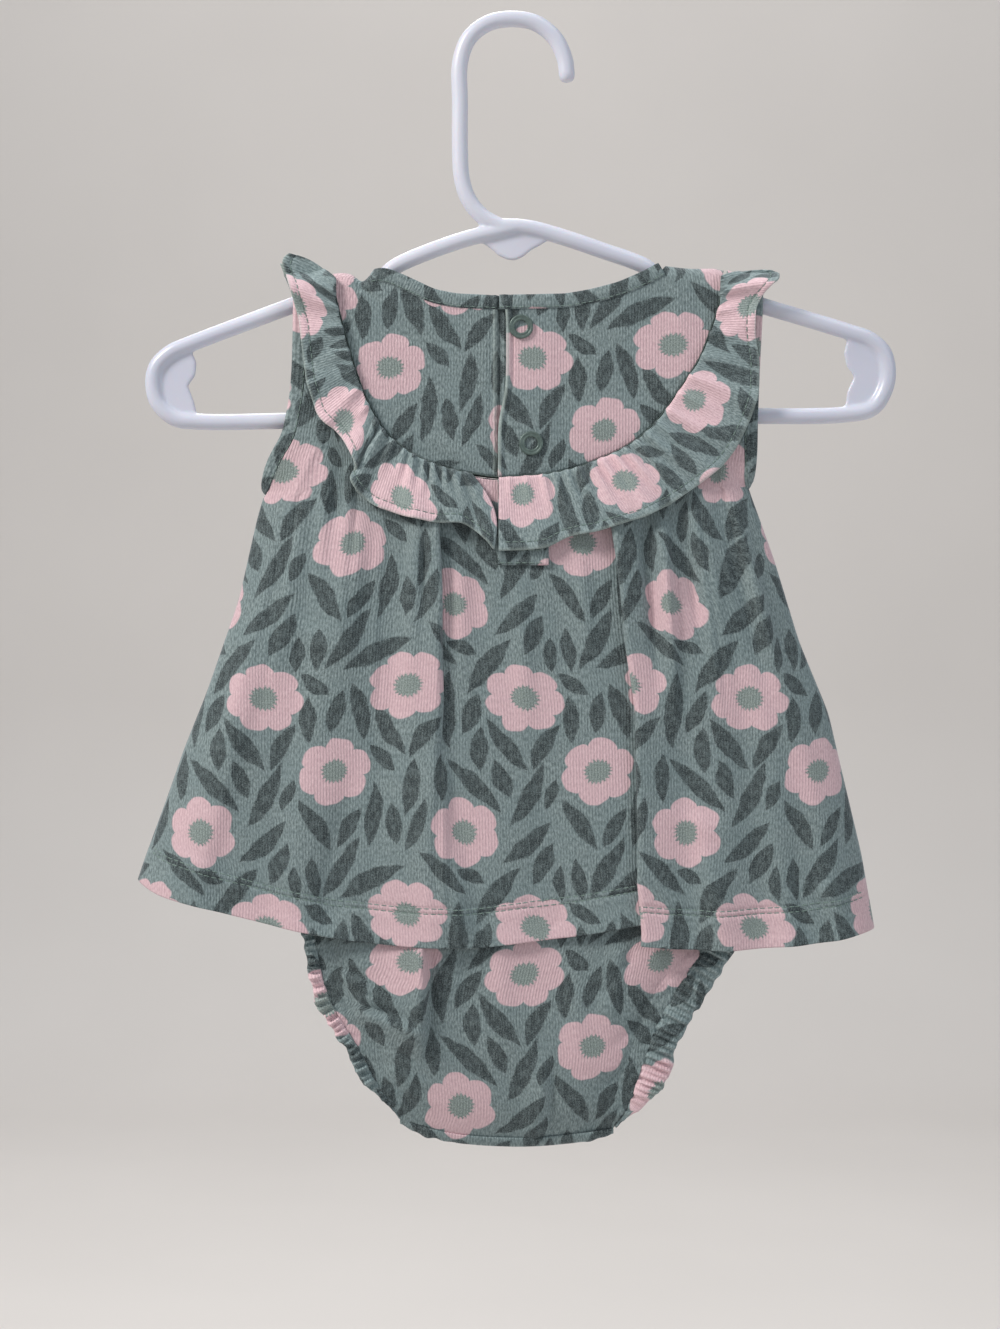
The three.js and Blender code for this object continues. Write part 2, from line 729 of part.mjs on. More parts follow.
// what lies under the back ruffle, and how far it lifts it: both pleats and the placket box
const UNDER_RUFFLE = [
  { at: -52, rise: 0 },
  { at: -44, rise: 1.4 },
  { at: -36, rise: 3.3 },
  { at: -23, rise: 3.3 },
  { at: -14, rise: 1.5 },
  { at: 24, rise: 1.5 },
  { at: 32, rise: 3.3 },
  { at: 48, rise: 3.3 },
  { at: 58, rise: 1.4 },
  { at: 66, rise: 0 },
];
const fieldAt = (rows, key, f) => at(rows.map((r) => ({ a: r.at, b: r[key] })), f);
function ruffle(table, seam, f0, f1, side, count) {
  const grid = [];
  for (let i = 0; i <= count; i++) {
    const u = i / count,
      f = lerp(f0, f1, u);
    const p = along(seam, f),
      q = along(seam, clamp(f - 0.012, 0, 1)),
      r = along(seam, clamp(f + 0.012, 0, 1));
    const l = Math.hypot(r.x - q.x, r.z - q.z);
    // square to the seam, away from the neck
    const nx = (r.z - q.z) / l,
      nz = -(r.x - q.x) / l;
    const tx = (r.x - q.x) / l,
      tz = (r.z - q.z) / l;
    const drop = fieldAt(table, "drop", u),
      outE = fieldAt(table, "out", u),
      lean = fieldAt(table, "lean", u);
    const col = [];
    for (const v of [0, 0.5, 1]) {
      const d = 0.4 + (drop - 0.4) * v;
      const x = p.x + nx * d + tx * lean * v * v;
      let z = p.z + nz * d + tz * lean * v * v;
      const top = topOf(x, RUFFLE_OUT);
      // beyond the shoulder line the ruffle stands free of the arm and keeps its own height
      const y =
        z > top - 0.05
          ? 0.5
          : Math.max(0.5, stand(clamp(x, -78, 90), Math.min(z, topOf(clamp(x, -78, 90), RUFFLE_OUT) - 0.02), RUFFLE_OUT, "ruffle"));
      const over = side < 0 ? fieldAt(UNDER_RUFFLE, "rise", x) : 0;
      col.push(new THREE.Vector3(x, side * (y + over + outE * v ** 1.3), z));
    }
    grid.push(col);
  }
  return wall(grid, CLOTH);
}

// ---- armhole bindings: one loop round each armhole, over the hanger's arm ----
function armBinding(edge, under, sign) {
  const pts = [];
  const out = (BODY_OUT + SKIRT_OUT) / 2;
  const zs = [];
  for (let z = under.z + 1.6; z < -118; z += 7.2) zs.push(z);
  const topX = at(edge, -104);
  const wrapTop = topOf(topX, out);
  const line = [];
  for (const z of zs)
    line.push({ x: at(edge, z), z, y: stand(at(edge, z), z, out, "skirt") });
  for (const a of [0, 0.3, 0.6, 0.85])
    line.push({
      x: topX,
      y: (WRAP_R + out) * Math.cos((a * Math.PI) / 2),
      z: wrapTop - WRAP_R - out + (WRAP_R + out) * Math.sin((a * Math.PI) / 2),
    });
  line.push({ x: topX, y: 0, z: wrapTop });
  const back = line.map((p) => ({ ...p, y: -p.y }));
  const front = line.slice(0, -1).reverse();
  const low = { x: under.x, y: 0, z: under.z + 0.2 };
  const loop = [low, ...back, ...front];
  const n = loop.length;
  const mid = { x: topX, z: (under.z - 104) / 2 };
  return loop.map((p, i) => {
    const a = loop[(i + n - 1) % n],
      b = loop[(i + 1) % n];
    // outward in x and down: towards the open armhole
    const tx = b.x - a.x,
      tz = b.z - a.z,
      ty = b.y - a.y;
    const dir = new THREE.Vector3(sign, 0, 0);
    const tan = new THREE.Vector3(tx, ty, tz).normalize();
    dir.addScaledVector(tan, -dir.dot(tan)).normalize();
    const g = CLOTH / 2 + SEAM;
    return [g, ARM_BINDING_W].map((d) =>
      new THREE.Vector3(p.x, p.y, p.z).addScaledVector(dir, d),
    );
  });
}

// ---- leg bands: gathered on elastic round each leg hole ----
function legBand(edge, sign, zTop, zLow) {
  const line = [];
  const n = 13;
  for (let i = 0; i <= n; i++) {
    const z = lerp(zTop, zLow, i / n);
    line.push({ x: at(edge, z), z, y: stand(at(edge, z), z, BODY_OUT, "body") });
  }
  line[0].y = 0.9;
  line[n].y = Math.min(line[n].y, 2.2);
  const loop = [
    ...line.map((p) => ({ ...p, y: -p.y })),
    ...line.slice().reverse(),
  ];
  const m = loop.length;
  return loop.map((p, i) => {
    const a = loop[(i + m - 1) % m],
      b = loop[(i + 1) % m];
    const tan = new THREE.Vector3(b.x - a.x, 0, b.z - a.z);
    if (tan.length() < 1e-6) tan.set(0, 0, -1);
    tan.normalize();
    const dir = new THREE.Vector3(-tan.z, 0, tan.x);
    if (dir.x * sign < 0) dir.negate();
    const g = CLOTH / 2 + SEAM;
    return [g, sign < 0 ? LEG_BAND_W.left : LEG_BAND_W.right].map((d) => {
      const q = new THREE.Vector3(p.x, p.y, p.z).addScaledVector(dir, d);
      return q;
    });
  });
}

// ---- crotch band: joins the front and the back between the legs ----
function crotchBand() {
  const cols = [];
  const n = 8;
  for (let i = 0; i <= n; i++) {
    const x = lerp(-41.5, 37.2, i / n);
    const z0 = at(CROTCH, x) + 0.4;
    const col = [];
    for (let k = 0; k <= 4; k++) {
      const a = Math.PI * (k / 4);
      col.push(
        new THREE.Vector3(x, -2.2 * Math.cos(a), z0 - 1.1 - 3.4 * Math.sin(a)),
      );
    }
    cols.push(col);
  }
  return wall(cols, CLOTH);
}

// ---- placket box below the yoke ----
function placketBox() {
  const grid = [];
  for (const x of [PLACKET.left, PLACKET.left + 5, PLACKET.right - 5, PLACKET.right]) {
    const col = [];
    for (const v of [0, 0.33, 0.66, 1]) {
      const p = along(YOKE_SEAM_BACK, whereX(YOKE_SEAM_BACK, x));
      const z = lerp(p.z - 0.9, PLACKET.bottom, v);
      col.push(new THREE.Vector3(x, -(stand(x, z, PLACKET_OUT, "skirt")), z));
    }
    grid.push(col);
  }
  return wall(grid, 0.8);
}

// ---- ring snap ----
function ringSnap(x, z) {
  const profile = [
    [SNAP_HOLE_R, 0],
    [SNAP_R, 0],
    [SNAP_R, SNAP_T * 0.45],
    [SNAP_R - 0.8, SNAP_T],
    [SNAP_HOLE_R + 0.6, SNAP_T],
    [SNAP_HOLE_R, SNAP_T * 0.6],
    [SNAP_HOLE_R, 0],
  ].map(([r, h]) => new THREE.Vector2(r, h));
  const g = new THREE.LatheGeometry(profile, 18);
  g.scale(1, -1, 1);
  const y = -(stand(x, z, YOKE_OUT + LAP_OUT, "yoke") + CLOTH / 2 + SEAM);
  g.translate(x, y, z);
  return flipped(g);
}
// a mirrored geometry has its faces turned back to face out
function flipped(g) {
  const m = g.index.array;
  for (let k = 0; k < m.length; k += 3) [m[k + 1], m[k + 2]] = [m[k + 2], m[k + 1]];
  return g;
}

// ---- hanger ----
const HOOK = [
  { x: 21.4, z: -18.7 },
  { x: 20.6, z: -12.6 },
  { x: 16.8, z: -4.4 },
  { x: 9.4, z: 1.5 },
  { x: 0, z: TUBE_R },
  { x: -9.4, z: 1.5 },
  { x: -16.8, z: -4.4 },
  { x: -20.3, z: -14 },
  { x: -20.3, z: -30 },
  { x: -20.3, z: -48 },
  { x: -19.5, z: -59.7 },
  { x: -16.6, z: -67.8 },
  { x: -11, z: -74.2 },
  { x: -3, z: -78.4 },
];
const ARM_LEFT = [
  { x: 3, z: -77.6 },
  { x: -4.7, z: -79.4 },
  { x: -20.3, z: -83.3 },
  { x: -43.7, z: -92.4 },
  { x: -48.2, z: -95.6 },
  { x: -53.2, z: -102.4 },
  { x: -57.4, z: -107.4 },
  { x: -61.4, z: -107.6 },
  { x: -65.4, z: -103.6 },
  { x: -68.8, z: -102.3 },
  { x: -72.6, z: -103.6 },
  { x: -86.6, z: -108.9 },
  { x: -106.1, z: -116.2 },
  { x: -126, z: -123.8 },
  { x: -133.2, z: -127 },
  { x: -138.6, z: -132.4 },
  { x: -140, z: -139 },
  { x: -138, z: -146.6 },
  { x: -131.4, z: -152.6 },
  { x: -121.7, z: -153.9 },
  { x: -80, z: -153.4 },
  { x: -30, z: -152.8 },
  { x: 2, z: -152.4 },
];
const ARM_RIGHT = [
  { x: -3, z: -77.6 },
  { x: 7, z: -78.4 },
  { x: 21.4, z: -82.4 },
  { x: 34.3, z: -86.8 },
  { x: 51.1, z: -92.9 },
  { x: 54.4, z: -95.4 },
  { x: 59.6, z: -102.8 },
  { x: 63.4, z: -106.4 },
  { x: 67, z: -106 },
  { x: 71.4, z: -102.6 },
  { x: 75.4, z: -102.2 },
  { x: 80, z: -103.4 },
  { x: 102.6, z: -110.2 },
  { x: 120.1, z: -115.4 },
  { x: 131, z: -118.8 },
  { x: 139.4, z: -121.8 },
  { x: 144.8, z: -126.8 },
  { x: 146.6, z: -134 },
  { x: 145.4, z: -141.4 },
  { x: 140.6, z: -148.6 },
  { x: 131, z: -151 },
  { x: 80, z: -151.6 },
  { x: 30, z: -152.2 },
  { x: -2, z: -152.5 },
];
function tube(line, steps, sides = 8) {
  const curve = new THREE.CatmullRomCurve3(
    line.map((p) => new THREE.Vector3(p.x, 0, p.z)),
    false,
    "centripetal",
  );
  const ring = new THREE.Shape();
  for (let k = 0; k < sides; k++) {
    const a = (2 * Math.PI * (k + 0.5)) / sides;
    ring[k ? "lineTo" : "moveTo"](TUBE_R * Math.cos(a), TUBE_R * Math.sin(a));
  }
  ring.closePath();
  return new THREE.ExtrudeGeometry(ring, {
    steps,
    extrudePath: curve,
    bevelEnabled: false,
  });
}
function web(points) {
  const s = new THREE.Shape();
  points.forEach((p, i) => s[i ? "lineTo" : "moveTo"](p.x, p.z));
  s.closePath();
  const g = new THREE.ExtrudeGeometry(s, { depth: WEB_T, bevelEnabled: false });
  g.rotateX(Math.PI / 2);
  g.translate(0, WEB_T / 2, 0);
  return g;
}
function toManifold(g) {
  const c = g.index ? g.toNonIndexed() : g.clone();
  const only = new THREE.BufferGeometry().setAttribute(
    "position",
    c.getAttribute("position"),
  );
  const m = mergeVertices(only, 1e-4);
  return new wasm.Manifold(
    new wasm.Mesh({
      numProp: 3,
      vertProperties: m.attributes.position.array,
      triVerts: new Uint32Array(m.index.array),
    }),
  );
}
function fromManifold(s) {
  const m = s.getMesh();
  return new THREE.BufferGeometry()
    .setAttribute("position", new THREE.BufferAttribute(m.vertProperties, 3))
    .setIndex(new THREE.BufferAttribute(m.triVerts, 1));
}
function hangerSolid() {
  const tip = new THREE.SphereGeometry(TUBE_R, 10, 8);
  tip.translate(HOOK[0].x, 0, HOOK[0].z);
  const parts = [
    tube(HOOK, 32),
    tube(ARM_LEFT, 54),
    tube(ARM_RIGHT, 54),
    tip,
    // web plates: under the joint, in the crook of the hook and inside both ends
    web([
      { x: -14, z: -82 },
      { x: -8, z: -86 },
      { x: -3.4, z: -90 },
      { x: 1, z: -91 },
      { x: 6, z: -88 },
      { x: 14.4, z: -83.4 },
      { x: 12, z: -78 },
      { x: -8, z: -78 },
    ]),
    web([
      { x: -13.4, z: -72.6 },
      { x: -8.4, z: -72.6 },
      { x: -5, z: -77 },
      { x: -13, z: -77 },
    ]),
    web([
      { x: -126, z: -124.2 },
      { x: -123, z: -131 },
      { x: -123.6, z: -136 },
      { x: -126.4, z: -140 },
      { x: -124, z: -146 },
      { x: -122.4, z: -153.6 },
      { x: -131.4, z: -152.4 },
      { x: -137.6, z: -146.4 },
      { x: -139.6, z: -139 },
      { x: -138.2, z: -132.6 },
      { x: -133, z: -127.2 },
    ]),
    web([
      { x: 131.4, z: -119.4 },
      { x: 129.4, z: -127 },
      { x: 130.4, z: -132 },
      { x: 133.4, z: -136.4 },
      { x: 130.8, z: -142 },
      { x: 129.6, z: -150.6 },
      { x: 140.4, z: -148.2 },
      { x: 145, z: -141.4 },
      { x: 146.2, z: -134 },
      { x: 144.4, z: -127 },
      { x: 139, z: -122 },
    ]),
  ].map(toManifold);
  return fromManifold(parts.reduce((a, b) => a.add(b)));
}

// ---- assembly ----
const cotton = () =>
  new THREE.MeshStandardMaterial({ color: 0x7f9a94, roughness: 0.92, metalness: 0 });
const plastic = () =>
  new THREE.MeshStandardMaterial({ color: 0xd3d4df, roughness: 0.35, metalness: 0 });
const ringPaint = () =>
  new THREE.MeshStandardMaterial({ color: 0x5f766d, roughness: 0.45, metalness: 0 });

const romper = new THREE.Group();
const garment = new THREE.Group();
const fastenings = new THREE.Group();
romper.add(garment, fastenings);
function add(group, name, geometry, material) {
  const mesh = new THREE.Mesh(geometry, material);
  mesh.name = name;
  group.add(mesh);
  return mesh;
}
const lapRight = (x) => LAP_OUT * clamp((18 - x) / 4, 0, 1);
const lapLeft = (x) => -LAP_OUT * clamp((x + 10) / 4, 0, 1);
const nL = whereX(NECK_BACK, PLACKET.lapTo),
  nR = whereX(NECK_BACK, PLACKET.left);

add(romper, "hanger", hangerSolid(), plastic());
add(garment, "back_yoke_left", yokeHalf(true), cotton());
add(garment, "back_yoke_right", yokeHalf(false), cotton());
add(garment, "front_yoke", frontYoke(), cotton());
const inner = HALF_STATIONS.slice(0, -2);
add(garment, "neck_binding_back_left", neckStrip(NECK_BACK, inner.map((u) => lerp(nL, 0, u)).reverse(), -1, lapLeft), cotton());
add(garment, "neck_binding_back_right", neckStrip(NECK_BACK, inner.map((u) => lerp(nR, 1, u)), -1, lapRight), cotton());
add(garment, "neck_binding_front", neckStrip(NECK_FRONT, FRONT_STATIONS.slice(2, -2), 1, null), cotton());
add(garment, "skirt_back", skirt(-1), cotton());
add(garment, "skirt_front", skirt(1), cotton());
add(garment, "body_back", body(-1), cotton());
add(garment, "body_front", body(1), cotton());
const slitF = whereX(YOKE_SEAM_BACK, PLACKET.left - 1.4);
add(garment, "back_ruffle_left", ruffle(RUFFLE_LEFT, YOKE_SEAM_BACK, slitF, 0.012, -1, 28), cotton());
add(garment, "back_ruffle_right", ruffle(RUFFLE_RIGHT, YOKE_SEAM_BACK, slitF + 0.006, 0.988, -1, 28), cotton());
const frontTable = [...RUFFLE_LEFT.slice(3)]
  .reverse()
  .map((r) => ({ ...r, at: (1 - (r.at - 0.17) / 0.83) / 2, lean: 0 }))
  .concat(
    RUFFLE_RIGHT.slice(3).map((r) => ({ ...r, at: 0.5 + 0.002 + ((r.at - 0.17) / 0.83) * 0.498 })),
  );
add(garment, "front_ruffle", ruffle(frontTable, YOKE_SEAM_FRONT, 0.012, 0.988, 1, 44), cotton());
add(garment, "armhole_binding_left", wall(armBinding(LEFT_EDGE, UNDER_L, -1), BINDING_T, true), cotton());
add(garment, "armhole_binding_right", wall(armBinding(RIGHT_EDGE, UNDER_R, 1), BINDING_T, true), cotton());
add(garment, "leg_band_left", wall(legBand(BODY_LEFT, -1, -318, -424), LEG_BAND_T, true), cotton());
add(garment, "leg_band_right", wall(legBand(BODY_RIGHT, 1, -318, -427), LEG_BAND_T, true), cotton());
add(garment, "crotch_band", crotchBand(), cotton());
add(garment, "placket_box", placketBox(), cotton());
add(fastenings, "snap_upper", ringSnap(3.5, -117.8), ringPaint());
add(fastenings, "snap_lower", ringSnap(7.4, -163), ringPaint());

export default romper;
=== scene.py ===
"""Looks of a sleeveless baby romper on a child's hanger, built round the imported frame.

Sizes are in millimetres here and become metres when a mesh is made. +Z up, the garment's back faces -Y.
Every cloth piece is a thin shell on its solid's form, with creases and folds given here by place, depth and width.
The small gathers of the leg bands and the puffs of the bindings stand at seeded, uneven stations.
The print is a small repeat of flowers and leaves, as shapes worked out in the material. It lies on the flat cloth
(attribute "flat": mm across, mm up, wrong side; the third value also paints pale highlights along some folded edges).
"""

import math

import bpy
import numpy as np
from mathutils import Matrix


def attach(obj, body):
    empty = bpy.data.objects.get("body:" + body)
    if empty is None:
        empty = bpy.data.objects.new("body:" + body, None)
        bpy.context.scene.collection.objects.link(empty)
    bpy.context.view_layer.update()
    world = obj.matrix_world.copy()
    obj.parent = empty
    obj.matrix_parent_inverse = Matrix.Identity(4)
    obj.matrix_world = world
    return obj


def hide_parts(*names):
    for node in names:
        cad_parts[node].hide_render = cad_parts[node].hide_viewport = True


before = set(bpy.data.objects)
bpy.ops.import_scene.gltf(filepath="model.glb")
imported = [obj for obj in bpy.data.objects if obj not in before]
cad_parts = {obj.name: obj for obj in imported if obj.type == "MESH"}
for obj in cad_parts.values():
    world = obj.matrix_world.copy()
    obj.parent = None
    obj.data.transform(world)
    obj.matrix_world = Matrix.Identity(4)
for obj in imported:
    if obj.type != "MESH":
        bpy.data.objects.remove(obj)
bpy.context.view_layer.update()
MM = 0.001
LEFT_EDGE = [
    (-332.3, -145.5), (-322, -142), (-302, -134.6), (-281.6, -127.5), (-259.4, -118.6), (-223.5, -106.1),
    (-192.3, -99.1), (-181.3, -95.9), (-169.7, -90.5), (-161.5, -85), (-145.5, -81.7), (-133.8, -80.8),
    (-118.2, -80.4), (-101.8, -80.2),
]
RIGHT_EDGE = [
    (-351, 140.8), (-322, 135.7), (-287.4, 127.5), (-267.5, 122.9), (-239.8, 111.5), (-207.9, 101.8),
    (-190.3, 95.5), (-179.4, 91.5), (-168.9, 90.8), (-157.2, 90.6), (-145.5, 90.9), (-133.8, 91.4),
    (-118.2, 92.2), (-102.2, 92.8),
]
BODY_LEFT = [
    (-426.7, -43.3), (-418.5, -48.4), (-408.7, -54.6), (-399.8, -58.5), (-389.2, -65.1), (-379.5, -71),
    (-369.7, -74.1), (-352.2, -77.4), (-328.8, -82.4), (-301.5, -86), (-262.5, -88.6), (-223.5, -90.6),
    (-188, -91.4), (-181.3, -92.2), (-169.7, -88), (-161.5, -84.6), (-145.5, -81.7), (-133.8, -80.8),
    (-118.2, -80.4), (-101.8, -80.2),
]
BODY_RIGHT = [
    (-430.6, 39), (-418.9, 46.4), (-407.2, 49.9), (-399.8, 52.7), (-392, 54.9), (-384.5, 58.5),
    (-376.4, 62.8), (-368.9, 68), (-361.9, 72.5), (-352.2, 77.6), (-328.8, 85.4), (-301.5, 88.2),
    (-262.5, 88.6), (-223.5, 88), (-186, 86.6), (-179.4, 86.6), (-168.9, 87.2), (-157.2, 89.4),
    (-145.5, 90.9), (-133.8, 91.4), (-118.2, 92.2), (-102.2, 92.8),
]
HEM_BACK = [
    (-145.5, -332.3), (-137.3, -337.4), (-113.1, -343.6), (-86.2, -350.2), (-67.1, -354.1), (-50.3, -356.1),
    (-35.9, -357.2), (-12.5, -357.6), (28, -352.6), (60, -347),
]
HEM_BACK_RIGHT = [
    (37, -355.6), (50.3, -356.5), (60, -357.6), (81.9, -358.4), (111.5, -356.5), (126.8, -354.5),
    (140.8, -351),
]
HEM_FRONT = [
    (-145.5, -332.3), (-125, -338), (-86, -345), (-36, -350), (20, -351), (70, -351),
    (112, -351), (140.8, -351),
]
CROTCH = [
    (-43.3, -426.7), (-33.9, -430.1), (-21.4, -432.6), (-9.8, -433.6), (3.1, -434), (13.3, -433.6),
    (31.2, -431.7), (39, -430.6),
]
SHOULDER = [
    (-84, -103.6), (-78.8, -101.6), (-74.9, -99.9), (-69.8, -98.5), (-65.1, -98.2), (-62, -99.1),
    (-59.7, -101.4), (-57.7, -101.9), (-55.4, -99.5), (-53, -95.6), (-47, -88), (-30, -70),
    (36, -70), (53, -88), (59.3, -95.5), (65.5, -96.3), (70.2, -96.7), (79.2, -96.5),
    (83.9, -97.9), (88.1, -99.8), (92.8, -102.2), (96, -103.6),
]
DEPTH = [
    (-439, 3.2), (-430, 4.6), (-415, 8), (-395, 10.5), (-360, 11), (-330, 10),
    (-280, 8.2), (-220, 6.2), (-175, 4.9), (-150, 4.4), (-120, 4.2),
]
YOKE_SEAM_BACK = [
    (-69.8, -97.3), (-68.6, -105.3), (-65.1, -119), (-60.5, -134.9), (-56.2, -146.6), (-49.5, -158.3),
    (-42.1, -165), (-33.9, -169.7), (-23.8, -173.2), (-6.2, -176.2), (14, -174.9), (25, -172.4),
    (41, -166.1), (49.1, -161.1), (57.3, -152.9), (65.5, -140.8), (72.9, -129.9), (77.6, -117),
    (80.4, -108.4), (82.4, -96.4),
]
YOKE_SEAM_FRONT = [
    (-69.8, -97.3), (-68.4, -108), (-64, -128), (-56, -148), (-42, -164), (-22, -173.5),
    (4, -176.5), (30, -172.5), (52, -160), (68, -141), (77, -120), (80.6, -108),
    (82.4, -96.4),
]
NECK_BACK = [
    (-56.4, -99.7), (-49.4, -99.4), (-40.6, -103.3), (-31.6, -107.6), (-22.2, -109.5), (-6.2, -110.2),
    (10.9, -109.9), (21.4, -109.5), (32, -107.6), (42.6, -104.8), (53.2, -100.2), (60.6, -96),
]
NECK_FRONT = [
    (-56.4, -99.7), (-54, -108), (-49, -120), (-38, -134), (-20, -145), (3, -149),
    (26, -145), (44, -134), (54.5, -120), (58.4, -108), (60.6, -96),
]
HOOK = [
    (21.4, -18.7), (20.6, -12.6), (16.8, -4.4), (9.4, 1.5), (0, 3.2), (-9.4, 1.5),
    (-16.8, -4.4), (-20.3, -14), (-20.3, -30), (-20.3, -48), (-19.5, -59.7), (-16.6, -67.8),
    (-11, -74.2), (-3, -78.4),
]
ARM_LEFT = [
    (3, -77.6), (-4.7, -79.4), (-20.3, -83.3), (-43.7, -92.4), (-48.2, -95.6), (-53.2, -102.4),
    (-57.4, -107.4), (-61.4, -107.6), (-65.4, -103.6), (-68.8, -102.3), (-72.6, -103.6), (-86.6, -108.9),
    (-106.1, -116.2), (-126, -123.8), (-133.2, -127), (-138.6, -132.4), (-140, -139), (-138, -146.6),
    (-131.4, -152.6), (-121.7, -153.9), (-80, -153.4), (-30, -152.8), (2, -152.4),
]
ARM_RIGHT = [
    (-3, -77.6), (7, -78.4), (21.4, -82.4), (34.3, -86.8), (51.1, -92.9), (54.4, -95.4),
    (59.6, -102.8), (63.4, -106.4), (67, -106), (71.4, -102.6), (75.4, -102.2), (80, -103.4),
    (102.6, -110.2), (120.1, -115.4), (131, -118.8), (139.4, -121.8), (144.8, -126.8), (146.6, -134),
    (145.4, -141.4), (140.6, -148.6), (131, -151), (80, -151.6), (30, -152.2), (-2, -152.5),
]
WEBS = [
    [(-14, -81.5), (-11.6, -84.2), (-8.4, -86.4), (-5.2, -89.2), (-2, -90.7), (1.4, -91), (4.4, -89.6), (7.4, -87), (10.8, -85.2), (14.4, -83), (12, -78), (-8, -78)],
    [(-13.4, -72.6), (-8.4, -72.6), (-5, -77), (-13, -77)],
    [(-126, -124.2), (-123, -131), (-123.6, -136), (-126.4, -140), (-124, -146), (-122.4, -153.6), (-131.4, -152.4), (-137.6, -146.4), (-139.6, -139), (-138.2, -132.6), (-133, -127.2)],
    [(131.4, -119.4), (129.4, -127), (130.4, -132), (133.4, -136.4), (130.8, -142), (129.6, -150.6), (140.4, -148.2), (145, -141.4), (146.2, -134), (144.4, -127), (139, -122)],
]
BODY_OUT, YOKE_OUT, SKIRT_OUT, RUFFLE_OUT = 0.5, 1.2, 2.05, 3.7
WRAP_R, RISE, TUBE_R = 4.2, 0.7, 3.2
SIDE_W, CROTCH_H = 24.0, 16.0
UNDER = {"skirt": ((-95.9, -181.3), (91.5, -179.4)), "body": ((-92.2, -181.3), (86.6, -179.4))}
SHELL = 0.9  # thickness of the shown cloth


# ---- lines and tables ----
def gauss(values, sigma_n):
    n = int(math.ceil(4 * sigma_n))
    if n < 1:
        return values
    k = np.exp(-0.5 * (np.arange(-n, n + 1) / sigma_n) ** 2)
    k /= k.sum()
    lo = values[0] - (values[1] - values[0]) * np.arange(n, 0, -1)
    hi = values[-1] + (values[-1] - values[-2]) * np.arange(1, n + 1)
    return np.convolve(np.concatenate([lo, values, hi]), k, mode="valid")


def smooth_table(rows, sigma):
    a = np.array([float(r[0]) for r in rows])
    b = np.array([float(r[1]) for r in rows])
    g = np.linspace(a[0], a[-1], max(3, int((a[-1] - a[0]) / 0.5) + 1))
    v = np.interp(g, a, b)
    return g, gauss(v, sigma / (g[1] - g[0])) if sigma > 0 else v


def at(tab, v):
    return np.interp(v, tab[0], tab[1])


class Line:
    """A smooth line of (x, z) stations, read by fraction of its length."""

    def __init__(self, pts, sigma=2.5):
        p = np.array(pts, float)
        s = np.concatenate([[0], np.cumsum(np.hypot(*(p[1:] - p[:-1]).T))])
        g = np.linspace(0, s[-1], int(s[-1] / 0.5) + 2)
        x, z = np.interp(g, s, p[:, 0]), np.interp(g, s, p[:, 1])
        n = sigma / (g[1] - g[0])
        x, z = gauss(x, n), gauss(z, n)
        d = np.concatenate([[0], np.cumsum(np.hypot(x[1:] - x[:-1], z[1:] - z[:-1]))])
        self.length, self.f, self.x, self.z = d[-1], d / d[-1], x, z

    def __call__(self, f):
        return np.interp(f, self.f, self.x), np.interp(f, self.f, self.z)

    def tangent(self, f, e=0.006):
        a, b = self(np.clip(np.asarray(f) - e, 0, 1)), self(np.clip(np.asarray(f) + e, 0, 1))
        dx, dz = b[0] - a[0], b[1] - a[1]
        n = np.hypot(dx, dz) + 1e-9
        return dx / n, dz / n

    def where_x(self, x):
        lo, hi = 0.0, 1.0
        for _ in range(40):
            m = (lo + hi) / 2
            if self(m)[0] < x:
                lo = m
            else:
                hi = m
        return (lo + hi) / 2


EDGE = {
    "skirt": (smooth_table(LEFT_EDGE, 2.5), smooth_table(RIGHT_EDGE, 2.5)),
    "body": (smooth_table(BODY_LEFT, 2.0), smooth_table(BODY_RIGHT, 2.0)),
}
T_HEM_BACK, T_HEM_RIGHT = smooth_table(HEM_BACK, 3), smooth_table(HEM_BACK_RIGHT, 3)
T_HEM_FRONT, T_CROTCH = smooth_table(HEM_FRONT, 3), smooth_table(CROTCH, 3)
T_SHOULDER, T_DEPTH = smooth_table(SHOULDER, 0.9), smooth_table(DEPTH, 6)
SEAM_B, SEAM_F = Line(YOKE_SEAM_BACK, 3), Line(YOKE_SEAM_FRONT, 4)
NECK_B, NECK_F = Line(NECK_BACK, 2), Line(NECK_FRONT, 3)


def lerp(a, b, t):
    return a + (b - a) * t


def clamp(v, a, b):
    return np.clip(v, a, b)


def soft(t):
    t = np.clip(t, 0, 1)
    return t * t * (3 - 2 * t)


def round0(t):
    return np.sqrt(np.maximum(0, 1 - (1 - np.clip(t, 0, 1)) ** 2))


def from_seam(x, z, edge, under):
    slope = (at(edge, z + 2) - at(edge, z - 2)) / 4
    low = np.abs(x - at(edge, z)) / np.hypot(1, slope)
    high = np.hypot(x - under[0], z - under[1])
    return np.where(z > under[1], high, low)


def stand(x, z, out, layer):
    """Distance of a layer's middle surface from y = 0, `out` from the hollow inside the garment."""
    x, z = np.asarray(x, float), np.asarray(z, float)
    r = at(T_DEPTH, z) + out
    c = at(T_SHOULDER, x) + RISE - WRAP_R
    g = np.where(z > c, np.sqrt(np.maximum(0, 1 - ((z - c) / (WRAP_R + out)) ** 2)), 1.0)
    kind = "body" if layer == "body" else "skirt"
    w = SIDE_W + out
    side = np.minimum(
        round0(from_seam(x, z, EDGE[kind][0], UNDER[kind][0]) / w),
        round0(from_seam(x, z, EDGE[kind][1], UNDER[kind][1]) / w),
    )
    low = 1.0
    if kind == "body":
        open_ = np.clip((-326 - z) / 14, 0, 1)
        side = side + (np.maximum(side, 0.72) - side) * open_
        low = round0((z - at(T_CROTCH, x)) / CROTCH_H)
    return 0.16 + np.maximum(0, r * g * side * low - 0.16)


def top_of(x, out):
    return at(T_SHOULDER, x) + RISE + out


